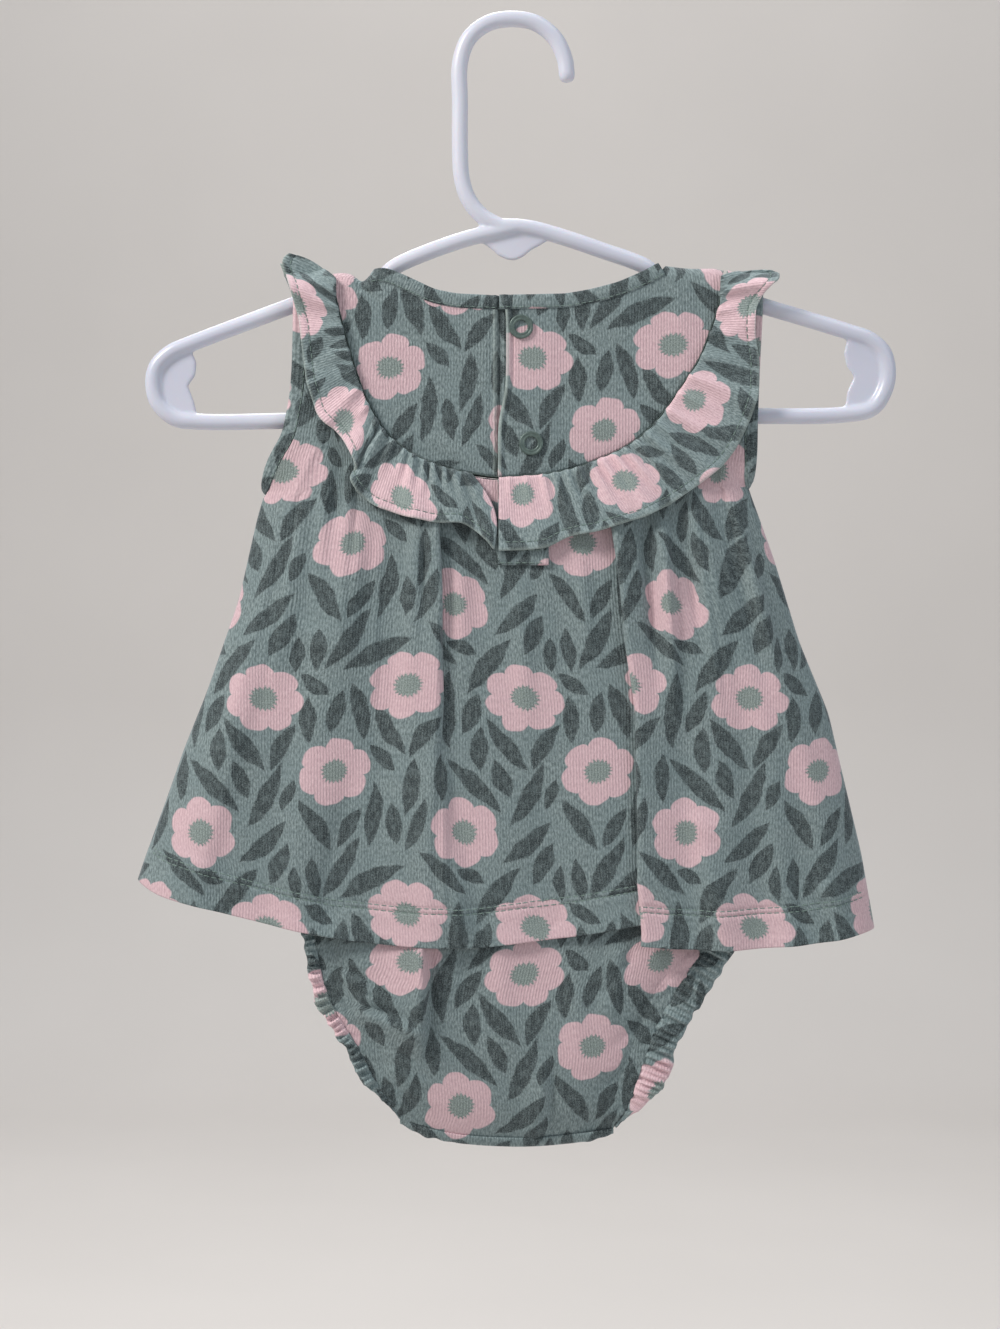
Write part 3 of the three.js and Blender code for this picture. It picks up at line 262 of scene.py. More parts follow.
def creases(x, z, rows):
    """Soft troughs (negative depth) and ridges: each runs from one end to the other, deepest at `peak` of its length."""
    y = np.zeros_like(x)
    for x0, z0, x1, z1, depth, width, peak in rows:
        dx, dz = x1 - x0, z1 - z0
        n = math.hypot(dx, dz)
        t = ((x - x0) * dx + (z - z0) * dz) / (n * n)
        d = ((x - x0) * dz - (z - z0) * dx) / n
        # one side of a crease is a little steeper than the other
        d = d + 0.25 * width * np.tanh(d / width)
        w = width * (0.75 + 0.5 * np.clip(t, 0, 1))
        along = np.where(t < peak, soft((t + 0.12) / (peak + 0.12)), soft((1.12 - t) / (1.12 - peak)))
        y += depth * np.exp(-((d / w) ** 2)) * along
    return y


# ---- materials ----
class Nodes:
    """Makes shader nodes one after another, each reading the ones before it."""

    def __init__(self, material):
        self.nt = material.node_tree
        self.nt.nodes.clear()

    def new(self, kind, **props):
        n = self.nt.nodes.new(kind)
        for k, v in props.items():
            setattr(n, k, v)
        return n

    def put(self, socket, value):
        if hasattr(value, "node"):
            self.nt.links.new(value, socket)
        else:
            socket.default_value = value

    def m(self, op, a, b=None, c=None, clamped=False):
        n = self.new("ShaderNodeMath", operation=op, use_clamp=clamped)
        for s, v in zip(n.inputs, (a, b, c)):
            if v is not None:
                self.put(s, v)
        return n.outputs[0]

    def v(self, op, a, b=None, c=None, scale=None):
        n = self.new("ShaderNodeVectorMath", operation=op)
        self.put(n.inputs[0], a)
        if b is not None:
            self.put(n.inputs[1], b)
        if c is not None:
            self.put(n.inputs[2], c)
        if scale is not None:
            self.put(n.inputs["Scale"], scale)
        return n.outputs["Value"] if op in ("DOT_PRODUCT", "LENGTH") else n.outputs["Vector"]

    def ramp(self, value, lo, hi, a=0.0, b=1.0):
        n = self.new("ShaderNodeMapRange", interpolation_type="SMOOTHSTEP")
        for key, val in (("Value", value), ("From Min", lo), ("From Max", hi), ("To Min", a), ("To Max", b)):
            self.put(n.inputs[key], val)
        return n.outputs[0]

    def noise(self, vec, scale, detail=2.0, rough=0.5):
        n = self.new("ShaderNodeTexNoise")
        self.put(n.inputs["Vector"], vec)
        n.inputs["Scale"].default_value = scale
        n.inputs["Detail"].default_value = detail
        n.inputs["Roughness"].default_value = rough
        return n.outputs["Fac"]

    def mix(self, fac, a, b, blend="MIX"):
        n = self.new("ShaderNodeMix", data_type="RGBA", blend_type=blend)
        self.put(n.inputs["Factor"], fac)
        ins = [s for s in n.inputs if s.type == "RGBA"]
        self.put(ins[0], a)
        self.put(ins[1], b)
        return [s for s in n.outputs if s.type == "RGBA"][0]

    def xyz(self, x, y, z=0.0):
        n = self.new("ShaderNodeCombineXYZ")
        for s, v in zip(n.inputs, (x, y, z)):
            self.put(s, v)
        return n.outputs[0]

    def split(self, vec):
        n = self.new("ShaderNodeSeparateXYZ")
        self.put(n.inputs[0], vec)
        return n.outputs


def srgb(hex_, k=1.0):
    c = [int(hex_[i : i + 2], 16) / 255 for i in (1, 3, 5)]
    return tuple(min(1, k * (x / 12.92 if x <= 0.04045 else ((x + 0.055) / 1.055) ** 2.4)) for x in c) + (1.0,)


def shader(material, nodes, colour, normal=None, **sockets):
    bsdf = nodes.new("ShaderNodeBsdfPrincipled")
    nodes.put(bsdf.inputs["Base Color"], colour)
    for k, v in sockets.items():
        nodes.put(bsdf.inputs[k.replace("_", " ")], v)
    if normal is not None:
        nodes.put(bsdf.inputs["Normal"], normal)
    out = nodes.new("ShaderNodeOutputMaterial")
    nodes.nt.links.new(bsdf.outputs[0], out.inputs[0])
    return bsdf


# the repeat of the print, in mm on the flat cloth: flowers at the cloth's own spacings, a few pairs of leaves placed
# under them, and the other leaves spread between by a seeded search made beforehand
REPEAT = (104.0, 88.0)
# x, y, turn in degrees, half width, half height, lobes
FLOWERS = [
    (30.0, 60.0, -8, 15.6, 12.8, 7),
    (57.7, 31.9, 20, 14.2, 12.6, 6),
    (5.4, 8.5, -25, 13.8, 13.2, 6),
    (84.6, 65.3, 6, 15.8, 13.0, 7),
]
# x, y, lean in degrees, half length, half width, bend
LEAVES = [
    (22.0, 42.0, 129, 12.8, 3.4, 0.2), (36.8, 41.8, 59, 10.2, 3.3, 0.35), (78.5, 47.5, 124, 11.5, 3.3, 0.35),
    (92.2, 46.2, 53, 9.7, 3.2, 0.35), (50.5, 11.5, 124, 11.5, 3.3, -0.2), (63.2, 10.5, 58, 8.9, 3.2, 0.1),
    (16.8, 72.7, 48, 14.2, 3.6, 0.2), (71.8, 78.3, 25, 14.6, 3.8, 0.2), (103.5, 55.7, 88, 15.2, 3.8, 0.35),
    (31.2, 22.3, 62, 14.3, 3.4, -0.35), (10.0, 26.9, 136, 14.8, 3.3, -0.2), (60.4, 82.5, 57, 13.9, 3.6, -0.2),
    (88.1, 26.3, 79, 11.8, 3.5, -0.2), (66.8, 55.5, 108, 11.4, 3.6, -0.2), (30.3, 3.8, 41, 12.2, 3.4, -0.35),
    (73.1, 15.7, 84, 12.9, 3.3, -0.35), (90.4, 11.5, 69, 11.3, 3.0, -0.35), (100.5, 81.5, 136, 12.6, 3.1, -0.2),
    (57.9, 54.8, 80, 8.6, 3.2, 0.1), (12.1, 40.2, 92, 8.8, 3.5, 0.1), (81.2, 12.0, 99, 8.5, 3.3, -0.1),
    (99.8, 29.6, 91, 9.4, 3.3, 0.1), (35.9, 84.5, 62, 8.9, 3.6, 0), (49.2, 78.7, 94, 8.3, 3.0, -0.1),
    (9.1, 54.3, 65, 8.5, 3.6, 0), (20.7, 28.6, 110, 8.1, 3.5, 0.1), (47.6, 51.7, 90, 9.0, 3.3, -0.1),
    (41.8, 76.8, 88, 6.9, 2.6, 0), (76.6, 37.1, 132, 6.6, 2.9, -0.1), (7.5, 79.7, 154, 6.2, 2.6, 0),
    (49.1, 65.1, 144, 6.8, 2.9, 0.1), (39.4, 22.9, 66, 6.2, 2.5, -0.1),
]
BACK = srgb("#b7c4be")  # the wrong side


def cotton(painted_light_gain=1.0):
    mat = bpy.data.materials.new("cotton_print_knit")
    mat.use_nodes = True
    t = Nodes(mat)
    flat = t.new("ShaderNodeAttribute", attribute_name="flat").outputs["Vector"]
    u, v, wrong = t.split(flat)
    base = t.xyz(u, v)
    # edges drawn by hand, a little uneven
    wob = t.m("SUBTRACT", t.noise(base, 0.13, 1.0), 0.5)
    wob2 = t.m("SUBTRACT", t.noise(t.v("ADD", base, (37.0, 11.0, 0.0)), 0.13, 1.0), 0.5)
    P = t.v("ADD", base, t.v("SCALE", t.xyz(wob, wob2), scale=2.6))
    W, H = REPEAT
    half = ((W / 2, H / 2, 1.0), (-W / 2, -H / 2, -1.0))
    leaf = None
    for x, y, lean, hl, hw, bend in LEAVES:
        a = math.radians(lean)
        d = t.v("WRAP", t.v("SUBTRACT", P, (x, y, 0.0)), half[0], half[1])
        p = t.v("DOT_PRODUCT", d, (math.cos(a) / hl, math.sin(a) / hl, 0.0))
        q = t.v("DOT_PRODUCT", d, (-math.sin(a) / hw, math.cos(a) / hw, 0.0))
        pp = t.m("MULTIPLY", p, p)
        if bend:
            q = t.m("MULTIPLY_ADD", pp, bend, q)
        m = t.m("ADD", pp, t.m("ABSOLUTE", q))
        leaf = m if leaf is None else t.m("MINIMUM", leaf, m)
    petal, heart = None, None
    for x, y, turn, rx, ry, lobes in FLOWERS:
        a = math.radians(turn)
        d = t.v("WRAP", t.v("SUBTRACT", P, (x, y, 0.0)), half[0], half[1])
        p = t.v("DOT_PRODUCT", d, (math.cos(a) / rx, math.sin(a) / rx, 0.0))
        q = t.v("DOT_PRODUCT", d, (-math.sin(a) / ry, math.cos(a) / ry, 0.0))
        r = t.v("LENGTH", t.xyz(p, q))
        ang = t.m("ARCTAN2", q, p)
        lobe = t.m("ABSOLUTE", t.m("COSINE", t.m("MULTIPLY", ang, lobes / 2)))
        lobe = t.m("POWER", lobe, 0.6)
        edge = t.m("SUBTRACT", r, t.m("MULTIPLY_ADD", lobe, 0.22, 0.79))
        petal = edge if petal is None else t.m("MINIMUM", petal, edge)
        rag = t.m("MULTIPLY_ADD", t.m("COSINE", t.m("MULTIPLY", ang, 19.0)), -0.035, r)
        heart = rag if heart is None else t.m("MINIMUM", heart, rag)
    # heather: short streaks along the wales, and single dark and light yarns
    streak = t.noise(t.v("MULTIPLY", base, (1.7, 0.62, 1.0)), 1.0, 3.0, 0.65)
    speck = t.noise(t.v("MULTIPLY", base, (2.6, 1.5, 1.0)), 1.0, 2.0, 0.7)
    wide = t.noise(base, 0.05, 2.0)
    wale = t.m("SINE", t.m("MULTIPLY_ADD", speck, 1.3, t.m("MULTIPLY", u, 2 * math.pi / 1.15)))
    ground = t.mix(t.ramp(streak, 0.36, 0.64), srgb("#687576"), srgb("#929f9f"))
    ground = t.mix(t.ramp(wide, 0.35, 0.65, 0.0, 0.22), ground, srgb("#76888b"))
    dots = t.noise(t.v("MULTIPLY", base, (2.5, 1.7, 1.0)), 1.0, 3.0, 0.8)
    leafc = t.mix(t.ramp(dots, 0.38, 0.66), srgb("#272e30"), srgb("#525a5b"))
    vein = t.noise(t.v("MULTIPLY", base, (0.55, 0.3, 1.0)), 1.0, 2.0, 0.6)
    leafm = t.ramp(t.m("MULTIPLY_ADD", t.m("SUBTRACT", dots, 0.5), 0.45, leaf), 1.08, 0.86)
    leafm = t.m("MULTIPLY", leafm, t.ramp(t.m("MULTIPLY_ADD", vein, 0.7, dots), 0.98, 0.72, 0.55, 0.95))
    col = t.mix(leafm, ground, leafc)
    pinkc = t.mix(t.ramp(streak, 0.3, 0.7), srgb("#c8a8ae"), srgb("#ddc0c4"))
    col = t.mix(t.ramp(petal, 0.028, -0.02), col, pinkc)
    heartm = t.ramp(t.m("MULTIPLY_ADD", t.m("SUBTRACT", speck, 0.5), 0.16, heart), 0.38, 0.30)
    heartc = t.mix(t.ramp(speck, 0.36, 0.64), srgb("#6a7b77"), srgb("#93a29d"))
    col = t.mix(t.m("MULTIPLY", heartm, 0.93), col, heartc)
    # the factor multiplied in here lightens the whole colour when above 1: painted light, used for the ruffle and leg
    # bands
    light = t.m("MULTIPLY_ADD", wale, 0.035, t.m("MULTIPLY_ADD", speck, 0.26 * painted_light_gain, 0.86 * painted_light_gain))
    col = t.mix(1.0, col, t.xyz(light, light, light), "MULTIPLY")
    # the wrong side shows the print only faintly
    # the same mix also lays pale highlights where the right side is given a wrong-side amount: painted highlights on
    # the placket's folded edges, partly painted on the ruffles' free edges
    col = t.mix(t.m("MULTIPLY", wrong, 0.72, clamped=True), col, BACK)
    height = t.m("MULTIPLY_ADD", wale, 0.5, t.m("MULTIPLY", speck, 1.3))
    bump = t.new("ShaderNodeBump")
    bump.inputs["Strength"].default_value = 0.5
    bump.inputs["Distance"].default_value = 0.00035
    t.put(bump.inputs["Height"], height)
    shader(mat, t, col, bump.outputs[0], Roughness=t.ramp(speck, 0.2, 0.8, 0.86, 0.98),
           Sheen_Weight=0.22, Sheen_Roughness=0.45, Sheen_Tint=(0.86, 0.93, 1.0, 1.0), Specular_IOR_Level=0.18)
    return mat


def thread(name, dark, light):
    mat = bpy.data.materials.new(name)
    mat.use_nodes = True
    t = Nodes(mat)
    co = t.new("ShaderNodeTexCoord").outputs["Object"]
    n = t.noise(co, 2400.0, 2.0)
    bump = t.new("ShaderNodeBump")
    bump.inputs["Strength"].default_value = 0.4
    bump.inputs["Distance"].default_value = 0.0001
    t.put(bump.inputs["Height"], n)
    shader(mat, t, t.mix(t.ramp(n, 0.3, 0.7), srgb(dark), srgb(light)), bump.outputs[0],
           Roughness=t.ramp(n, 0.2, 0.8, 0.6, 0.8), Sheen_Weight=0.15)
    return mat


def plastic():
    mat = bpy.data.materials.new("hanger_moulded_plastic")
    mat.use_nodes = True
    t = Nodes(mat)
    co = t.new("ShaderNodeTexCoord").outputs["Object"]
    cloud = t.noise(co, 18.0, 2.0)
    fine = t.noise(co, 900.0, 3.0, 0.6)
    scuff = t.noise(t.v("MULTIPLY", co, (60.0, 60.0, 700.0)), 1.0, 2.0)
    col = t.mix(t.ramp(cloud, 0.3, 0.7), srgb("#c9cbd9"), srgb("#d3d4df"))
    col = t.mix(t.ramp(scuff, 0.66, 0.8, 0.0, 0.25), col, srgb("#c6c7d2"))
    bump = t.new("ShaderNodeBump")
    bump.inputs["Strength"].default_value = 0.12
    bump.inputs["Distance"].default_value = 0.00012
    t.put(bump.inputs["Height"], fine)
    shader(mat, t, col, bump.outputs[0], Roughness=t.ramp(cloud, 0.3, 0.7, 0.3, 0.42),
           Subsurface_Weight=0.12, Subsurface_Scale=0.004, Specular_IOR_Level=0.5)
    return mat


def ring_paint():
    mat = bpy.data.materials.new("ring_paint_green")
    mat.use_nodes = True
    t = Nodes(mat)
    co = t.new("ShaderNodeTexCoord").outputs["Object"]
    n = t.noise(co, 700.0, 3.0, 0.6)
    wear = t.noise(co, 260.0, 2.0)
    col = t.mix(t.ramp(n, 0.3, 0.7), srgb("#54635e"), srgb("#667570"))
    col = t.mix(t.ramp(wear, 0.68, 0.76, 0.0, 0.5), col, srgb("#8b9a93"))
    bump = t.new("ShaderNodeBump")
    bump.inputs["Strength"].default_value = 0.2
    bump.inputs["Distance"].default_value = 0.0001
    t.put(bump.inputs["Height"], n)
    shader(mat, t, col, bump.outputs[0], Roughness=t.ramp(wear, 0.3, 0.7, 0.3, 0.5), Metallic=0.25)
    return mat


# ---- meshes ----
def make(name, verts, faces, material, flat=None, smooth=True):
    me = bpy.data.meshes.new(name)
    me.from_pydata((np.asarray(verts) * MM).tolist(), [], np.asarray(faces).tolist())
    me.polygons.foreach_set("use_smooth", np.full(len(me.polygons), smooth))
    if flat is not None:
        a = me.attributes.new("flat", "FLOAT_VECTOR", "POINT")
        a.data.foreach_set("vector", np.ascontiguousarray(flat, np.float32).ravel())
    me.materials.append(material)
    me.validate()
    me.update()
    ob = bpy.data.objects.new(name, me)
    bpy.context.scene.collection.objects.link(ob)
    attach(ob, "root")
    return ob


def grid_normals(P, ring=False):
    if ring:
        di = np.roll(P, -1, 0) - np.roll(P, 1, 0)
    else:
        di = np.gradient(P, axis=0)
    dj = np.gradient(P, axis=1)
    n = np.cross(di, dj)
    return n / (np.linalg.norm(n, axis=2, keepdims=True) + 1e-12)


def wall(name, P, U, V, side, ring=False, t=SHELL, keep=0.0, wrong=1.0, pale=0.0, painted_edge_highlight=None, material=None):
    """A closed thin shell on the grid P. `side` is the y direction that the right side faces (0: both are right sides)."""
    ni, nj = P.shape[:2]
    n = grid_normals(P, ring)
    if side and (n[..., 1] * side).mean() < 0:
        n = -n
    A, B = P + n * t / 2, P - n * t / 2
    if keep:
        A[..., 1] = keep * np.maximum(0.12, keep * A[..., 1])
        B[..., 1] = keep * np.maximum(0.12, keep * B[..., 1])
    verts = np.concatenate([A.reshape(-1, 3), B.reshape(-1, 3)])
    w = np.concatenate([np.zeros(ni * nj), np.full(ni * nj, wrong if side else 0.0)])
    # a pale rim along the free edge: partly the wrong side showing at the turned hem, partly a painted highlight where
    # the rolled edge catches the light
    if pale:
        g = np.zeros((ni, nj))
        g[:, -1] = pale
        g[:, -2] = pale * 0.4
        w[: ni * nj] = g.ravel()
    # an optional map that mixes the pale wrong-side colour into the right side: a painted highlight, used along the
    # placket's folded edges
    if painted_edge_highlight is not None:
        w[: ni * nj] = painted_edge_highlight.ravel()
    flat = np.stack([np.tile(U.ravel(), 2), np.tile(V.ravel(), 2), w], 1)
    idx = np.arange(ni * nj).reshape(ni, nj)
    if ring:
        idx = np.concatenate([idx, idx[:1]], 0)
    a, b, c, d = idx[:-1, :-1].ravel(), idx[1:, :-1].ravel(), idx[1:, 1:].ravel(), idx[:-1, 1:].ravel()
    m = ni * nj
    F = [np.stack([a, b, c, d], 1), np.stack([a + m, d + m, c + m, b + m], 1)]
    lo, hi = idx[:, 0], idx[:, -1]
    F.append(np.stack([lo[:-1] + m, lo[1:] + m, lo[1:], lo[:-1]], 1))
    F.append(np.stack([hi[:-1], hi[1:], hi[1:] + m, hi[:-1] + m], 1))
    if not ring:
        s, e = idx[0], idx[-1]
        F.append(np.stack([s[:-1], s[1:], s[1:] + m, s[:-1] + m], 1))
        F.append(np.stack([e[:-1] + m, e[1:] + m, e[1:], e[:-1]], 1))
    F = np.concatenate(F)
    p = verts
    vol = np.einsum("ij,ij->i", p[F[:, 0]], np.cross(p[F[:, 1]], p[F[:, 2]])).sum()
    vol += np.einsum("ij,ij->i", p[F[:, 0]], np.cross(p[F[:, 2]], p[F[:, 3]])).sum()
    if vol < 0:
        F = F[:, ::-1]
    ob = make(name, verts, F, material or COTTON, flat)
    return ob, n


def across(P, ref=None):
    """Distance along each row of a panel, from the reference column."""
    d = np.hypot(np.diff(P[..., 0], axis=0), np.diff(P[..., 1], axis=0))
    u = np.concatenate([np.zeros((1, P.shape[1])), np.cumsum(d, 0)])
    if ref is not None:
        u = u - u[ref][None, :] + P[ref, :, 0].mean()
    return u


def declare(node):
    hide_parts(node)


def tube_mesh(points, radius, sides=6, closed=False):
    """Rings of a thin round line along points."""
    p = np.asarray(points, float)
    t = np.gradient(p, axis=0) if not closed else np.roll(p, -1, 0) - np.roll(p, 1, 0)
    t /= np.linalg.norm(t, axis=1, keepdims=True) + 1e-9
    ref = np.array([0.0, 1.0, 0.0])
    a = np.cross(t, ref)
    bad = np.linalg.norm(a, axis=1) < 0.1
    a[bad] = np.cross(t[bad], [1.0, 0.0, 0.0])
    a /= np.linalg.norm(a, axis=1, keepdims=True)
    b = np.cross(t, a)
    k = np.arange(sides) * 2 * math.pi / sides
    rad = np.broadcast_to(np.asarray(radius, float), (len(p),))[:, None, None]
    ring = p[:, None] + rad * (np.cos(k)[None, :, None] * a[:, None] + np.sin(k)[None, :, None] * b[:, None])
    n = len(p)
    V = ring.reshape(-1, 3)
    F = []
    last = n if closed else n - 1
    for i in range(last):
        j = (i + 1) % n
        for s in range(sides):
            r = (s + 1) % sides
            F.append((i * sides + s, i * sides + r, j * sides + r, j * sides + s))
    if not closed:
        c0, c1 = len(V), len(V) + 1
        V = np.concatenate([V, p[:1], p[-1:]])
        for s in range(sides):
            r = (s + 1) % sides
            F.append((c0, r, s, s))
            F.append((c1, (n - 1) * sides + s, (n - 1) * sides + r, (n - 1) * sides + r))
    return V, F


def stitches(name, lines, material, length=2.1, gap=0.7, radius=0.2):
    """Sewn stitches along lines of points that lie on the cloth's surface."""
    V, F, base = [], [], 0
    for line in lines:
        p = np.asarray(line, float)
        s = np.concatenate([[0], np.cumsum(np.linalg.norm(np.diff(p, axis=0), axis=1))])
        pos = 0.2
        k = 0
        while pos + length < s[-1]:
            g = pos + np.array([0, 0.12, 0.35, 0.65, 0.88, 1.0]) * length
            q = np.stack([np.interp(g, s, p[:, c]) for c in range(3)], 1)
            v, f = tube_mesh(q, np.array([0.35, 0.85, 1, 1, 0.85, 0.35]) * radius, 5)
            V.append(v)
            F += [tuple(dict.fromkeys(i + base for i in face)) for face in f]
            base += len(v)
            pos += length + gap * (1 + 0.3 * math.sin(k * 2.1))
            k += 1
    V = np.concatenate(V)
    me = bpy.data.meshes.new(name)
    me.from_pydata((V * MM).tolist(), [], F)
    me.polygons.foreach_set("use_smooth", np.full(len(me.polygons), True))
    me.materials.append(material)
    me.update()
    ob = bpy.data.objects.new(name, me)
    bpy.context.scene.collection.objects.link(ob)
    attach(ob, "root")
    return ob


def iso(P, n, dist, side_out, lift=0.5, from_end=True):
    """The line on a grid at a distance from its last (or first) row, lifted off the right side."""
    Q = P[:, ::-1] if from_end else P
    N = n[:, ::-1] if from_end else n
    out = []
    for i in range(Q.shape[0]):
        s = np.concatenate([[0], np.cumsum(np.linalg.norm(np.diff(Q[i], axis=0), axis=1))])
        d = dist[i] if hasattr(dist, "__len__") else dist
        q = np.array([np.interp(d, s, Q[i][:, c]) for c in range(3)])
        m = np.array([np.interp(d, s, N[i][:, c]) for c in range(3)])
        if m[1] * side_out < 0:
            m = -m
        out.append(q + m * lift)
    return np.array(out)


COTTON, PLASTIC, RING = cotton(), plastic(), ring_paint()
COTTON_PAINTED_LIGHTER = cotton(1.18)  # ruffle and leg bands are painted about 18% paler: painted light, for the extra light the ruffle catches where it tilts up
THREAD = thread("thread_sage", "#5f736c", "#8a9d95")
# near-black sage for the cord along the yoke seam: painted shadow
SEAM_SHADOW_PAINT = thread("painted_seam_shadow_sage", "#2f3d3a", "#44544f")


def steps(x, z, rows):
    """Folds with one steep side: x, z, x, z, height, how wide it rises, how wide it falls (to the right; negative to the left)."""
    y = np.zeros_like(x)
    for x0, z0, x1, z1, high, rise, fall in rows:
        dx, dz = x1 - x0, z1 - z0
        n = math.hypot(dx, dz)
        t = ((x - x0) * dx + (z - z0) * dz) / (n * n)
        d = ((x - x0) * -dz + (z - z0) * dx) / n
        if fall < 0:
            d = -d
        along = soft((t + 0.15) / 0.3) * soft((1.2 - t) / 0.45)
        shape = np.where(d < 0, soft((d + rise) / rise), soft((abs(fall) - d) / abs(fall)))
        y += high * shape * along
    return y


# ---- skirt and bloomer panels ----
def hermite(keys, n_sub):
    """Smooth values between key columns without overshoot; n_sub columns to each next key."""
    k = np.arange(len(keys))
    y = np.array(keys, float)
    d = np.diff(y)
    m = np.zeros(len(y))
    for i in range(1, len(y) - 1):
        if d[i - 1] * d[i] > 0:
            m[i] = 2 * d[i - 1] * d[i] / (d[i - 1] + d[i])
    m[0], m[-1] = d[0], d[-1]
    out = []
    for i in range(len(y) - 1):
        t = np.arange(n_sub[i]) / n_sub[i]
        h = d[i]
        out.append(y[i] + t * m[i] + t**2 * (3 * h - 2 * m[i] - m[i + 1]) + t**3 * (m[i] + m[i + 1] - 2 * h))
    out.append([y[-1]])
    return np.concatenate(out)


def top_points(seam, top, out, layer, gap):
    x = np.zeros(len(top))
    z = np.zeros(len(top))
    e = EDGE[layer]
    for i, tp in enumerate(top):
        if 0 <= tp <= 1:
            px, pz = seam(tp)
            tx, tz = seam.tangent(tp, 0.01)
            mx, mz = px + tz * gap, pz - tx * gap
            x[i], z[i] = mx, min(mz, top_of(mx, out) - 0.02)
        else:
            inner = seam(0.0 if tp < 0 else 1.0)[0] + (-gap if tp < 0 else gap)
            outer = at(e[0], -110) if tp < 0 else at(e[1], -110)
            x[i] = lerp(inner, outer, -tp if tp < 0 else tp - 1)
            z[i] = top_of(x[i], out) - 0.02
    return x, z


def panel(seam, top, hem_x, hem_z, rows_mm, out, side, layer, gap, lift):
    e = EDGE[layer]
    Tx, Tz = top_points(seam, top, out, layer, gap)
    inset = 0.8

    def edge(k, z):
        u = UNDER[layer][k][1]
        tight = z > u - 1
        if layer == "body":
            tight = tight | (z < -322)
        return at(e[k], z) + (inset if k == 0 else -inset) * tight

    f0 = clamp((Tx - edge(0, Tz)) / (edge(1, Tz) - edge(0, Tz)), 0, 1)
    f1 = clamp((hem_x - edge(0, hem_z)) / (edge(1, hem_z) - edge(0, hem_z)), 0, 1)
    f0[0] = f1[0] = 0
    f0[-1] = f1[-1] = 1
    L = (Tz - hem_z)[:, None]
    head, frac, tail = rows_mm
    s = np.concatenate([np.broadcast_to(head, (len(Tx), len(head))),
                        head[-1] + frac[None, :] * (L - head[-1] - tail[0]),
                        L - np.broadcast_to(tail, (len(Tx), len(tail)))], 1)
    v = s / L
    z = Tz[:, None] - s
    f = lerp(f0[:, None], f1[:, None], v)
    x = lerp(edge(0, z), edge(1, z), f)
    y = stand(x, z, out, layer)
    y = y + lift(x, z, v)
    return np.stack([x, side * y, z], 2)


def skirt_keys(seam, back):
    f = seam.where_x
    K = [  # top, hem, mid lift, low lift, columns to the next, fold
        (-1, -145.5, 0, 0, 5, 0), (-0.4, -138.5, 0, 0.4, 5, 0), (0, -130, 0.6, 1.8, 3, 0),
        (0.024, -121, 1.2, 2.6, 7, 0), (f(-67), -110, 0.4, 0.4, 8, 0), (f(-61.5), -95, 0, 0.4, 8, 0),
        (f(-54.5), -80, 1.6, 3.0, 8, 0), (f(-47), -66, 0.8, 1.2, 8, 0), (f(-39), -53, 0, 0, 8, 0),
    ]
    if back:
        K += [
            (f(-33), -40, 2.6, 1.8, 8, 1), (f(-27.2), -30.4, 4.2, 2.6, 3, 1), (f(-26.5), -28.4, 3.7, 2.4, 3, 1),
            (f(-26.6), -25, 1.7, 1.7, 3, 1), (f(-31.2), -20, 1.5, 1.1, 3, 1), (f(-31.7), -16, 0.6, 0.5, 3, 1),
            (f(-30.6), -10, 0, 0, 9, 1), (f(-16), 0, 0, 0.9, 10, 0), (f(4), 16, 0.3, 0.2, 11, 0),
            (f(26), 38, 0, 0.9, 10, 0), (f(41.6), 56.6, 0, 0, 3, 1), (f(42.6), 58, 0.7, 0.7, 3, 1),
            (f(41.9), 57.2, 1.5, 1.5, 3, 1), (f(37.1), 50.6, 1.6, 1.6, 3, 1), (f(36.6), 49.7, 3.2, 3.2, 3, 1),
            (f(37.6), 51.0, 4.4, 4.4, 7, 1), (f(44), 60, 2.6, 3.0, 7, 1), (f(50), 72, 0.5, 0.9, 8, 0),
        ]
    else:
        K += [
            (f(-26), -36, 1.6, 2.6, 12, 0), (f(-12), -18, 0.2, 0, 12, 0), (f(3), 2, 1.4, 2.6, 12, 0),
            (f(18), 22, 0, 0.3, 12, 0), (f(32), 40, 1.7, 2.8, 11, 0), (f(45), 58, 0, 0.2, 9, 0),
            (f(53), 72, 0.9, 1.4, 8, 0),
        ]
    K += [
        (f(58.5), 84, 1.6, 3.0, 8, 0), (f(66), 97, 0.2, 0.2, 8, 0), (f(72.5), 108, 1.0, 2.4, 8, 0),
        (f(77.5), 118, 0.1, 0.2, 6, 0), (0.976, 126, 0.5, 1.6, 3, 0), (1, 132, 0.2, 0.8, 5, 0),
        (1.4, 136.6, 0, 0.2, 5, 0), (2, 140.8, 0, 0, 1, 0),
    ]
    return K


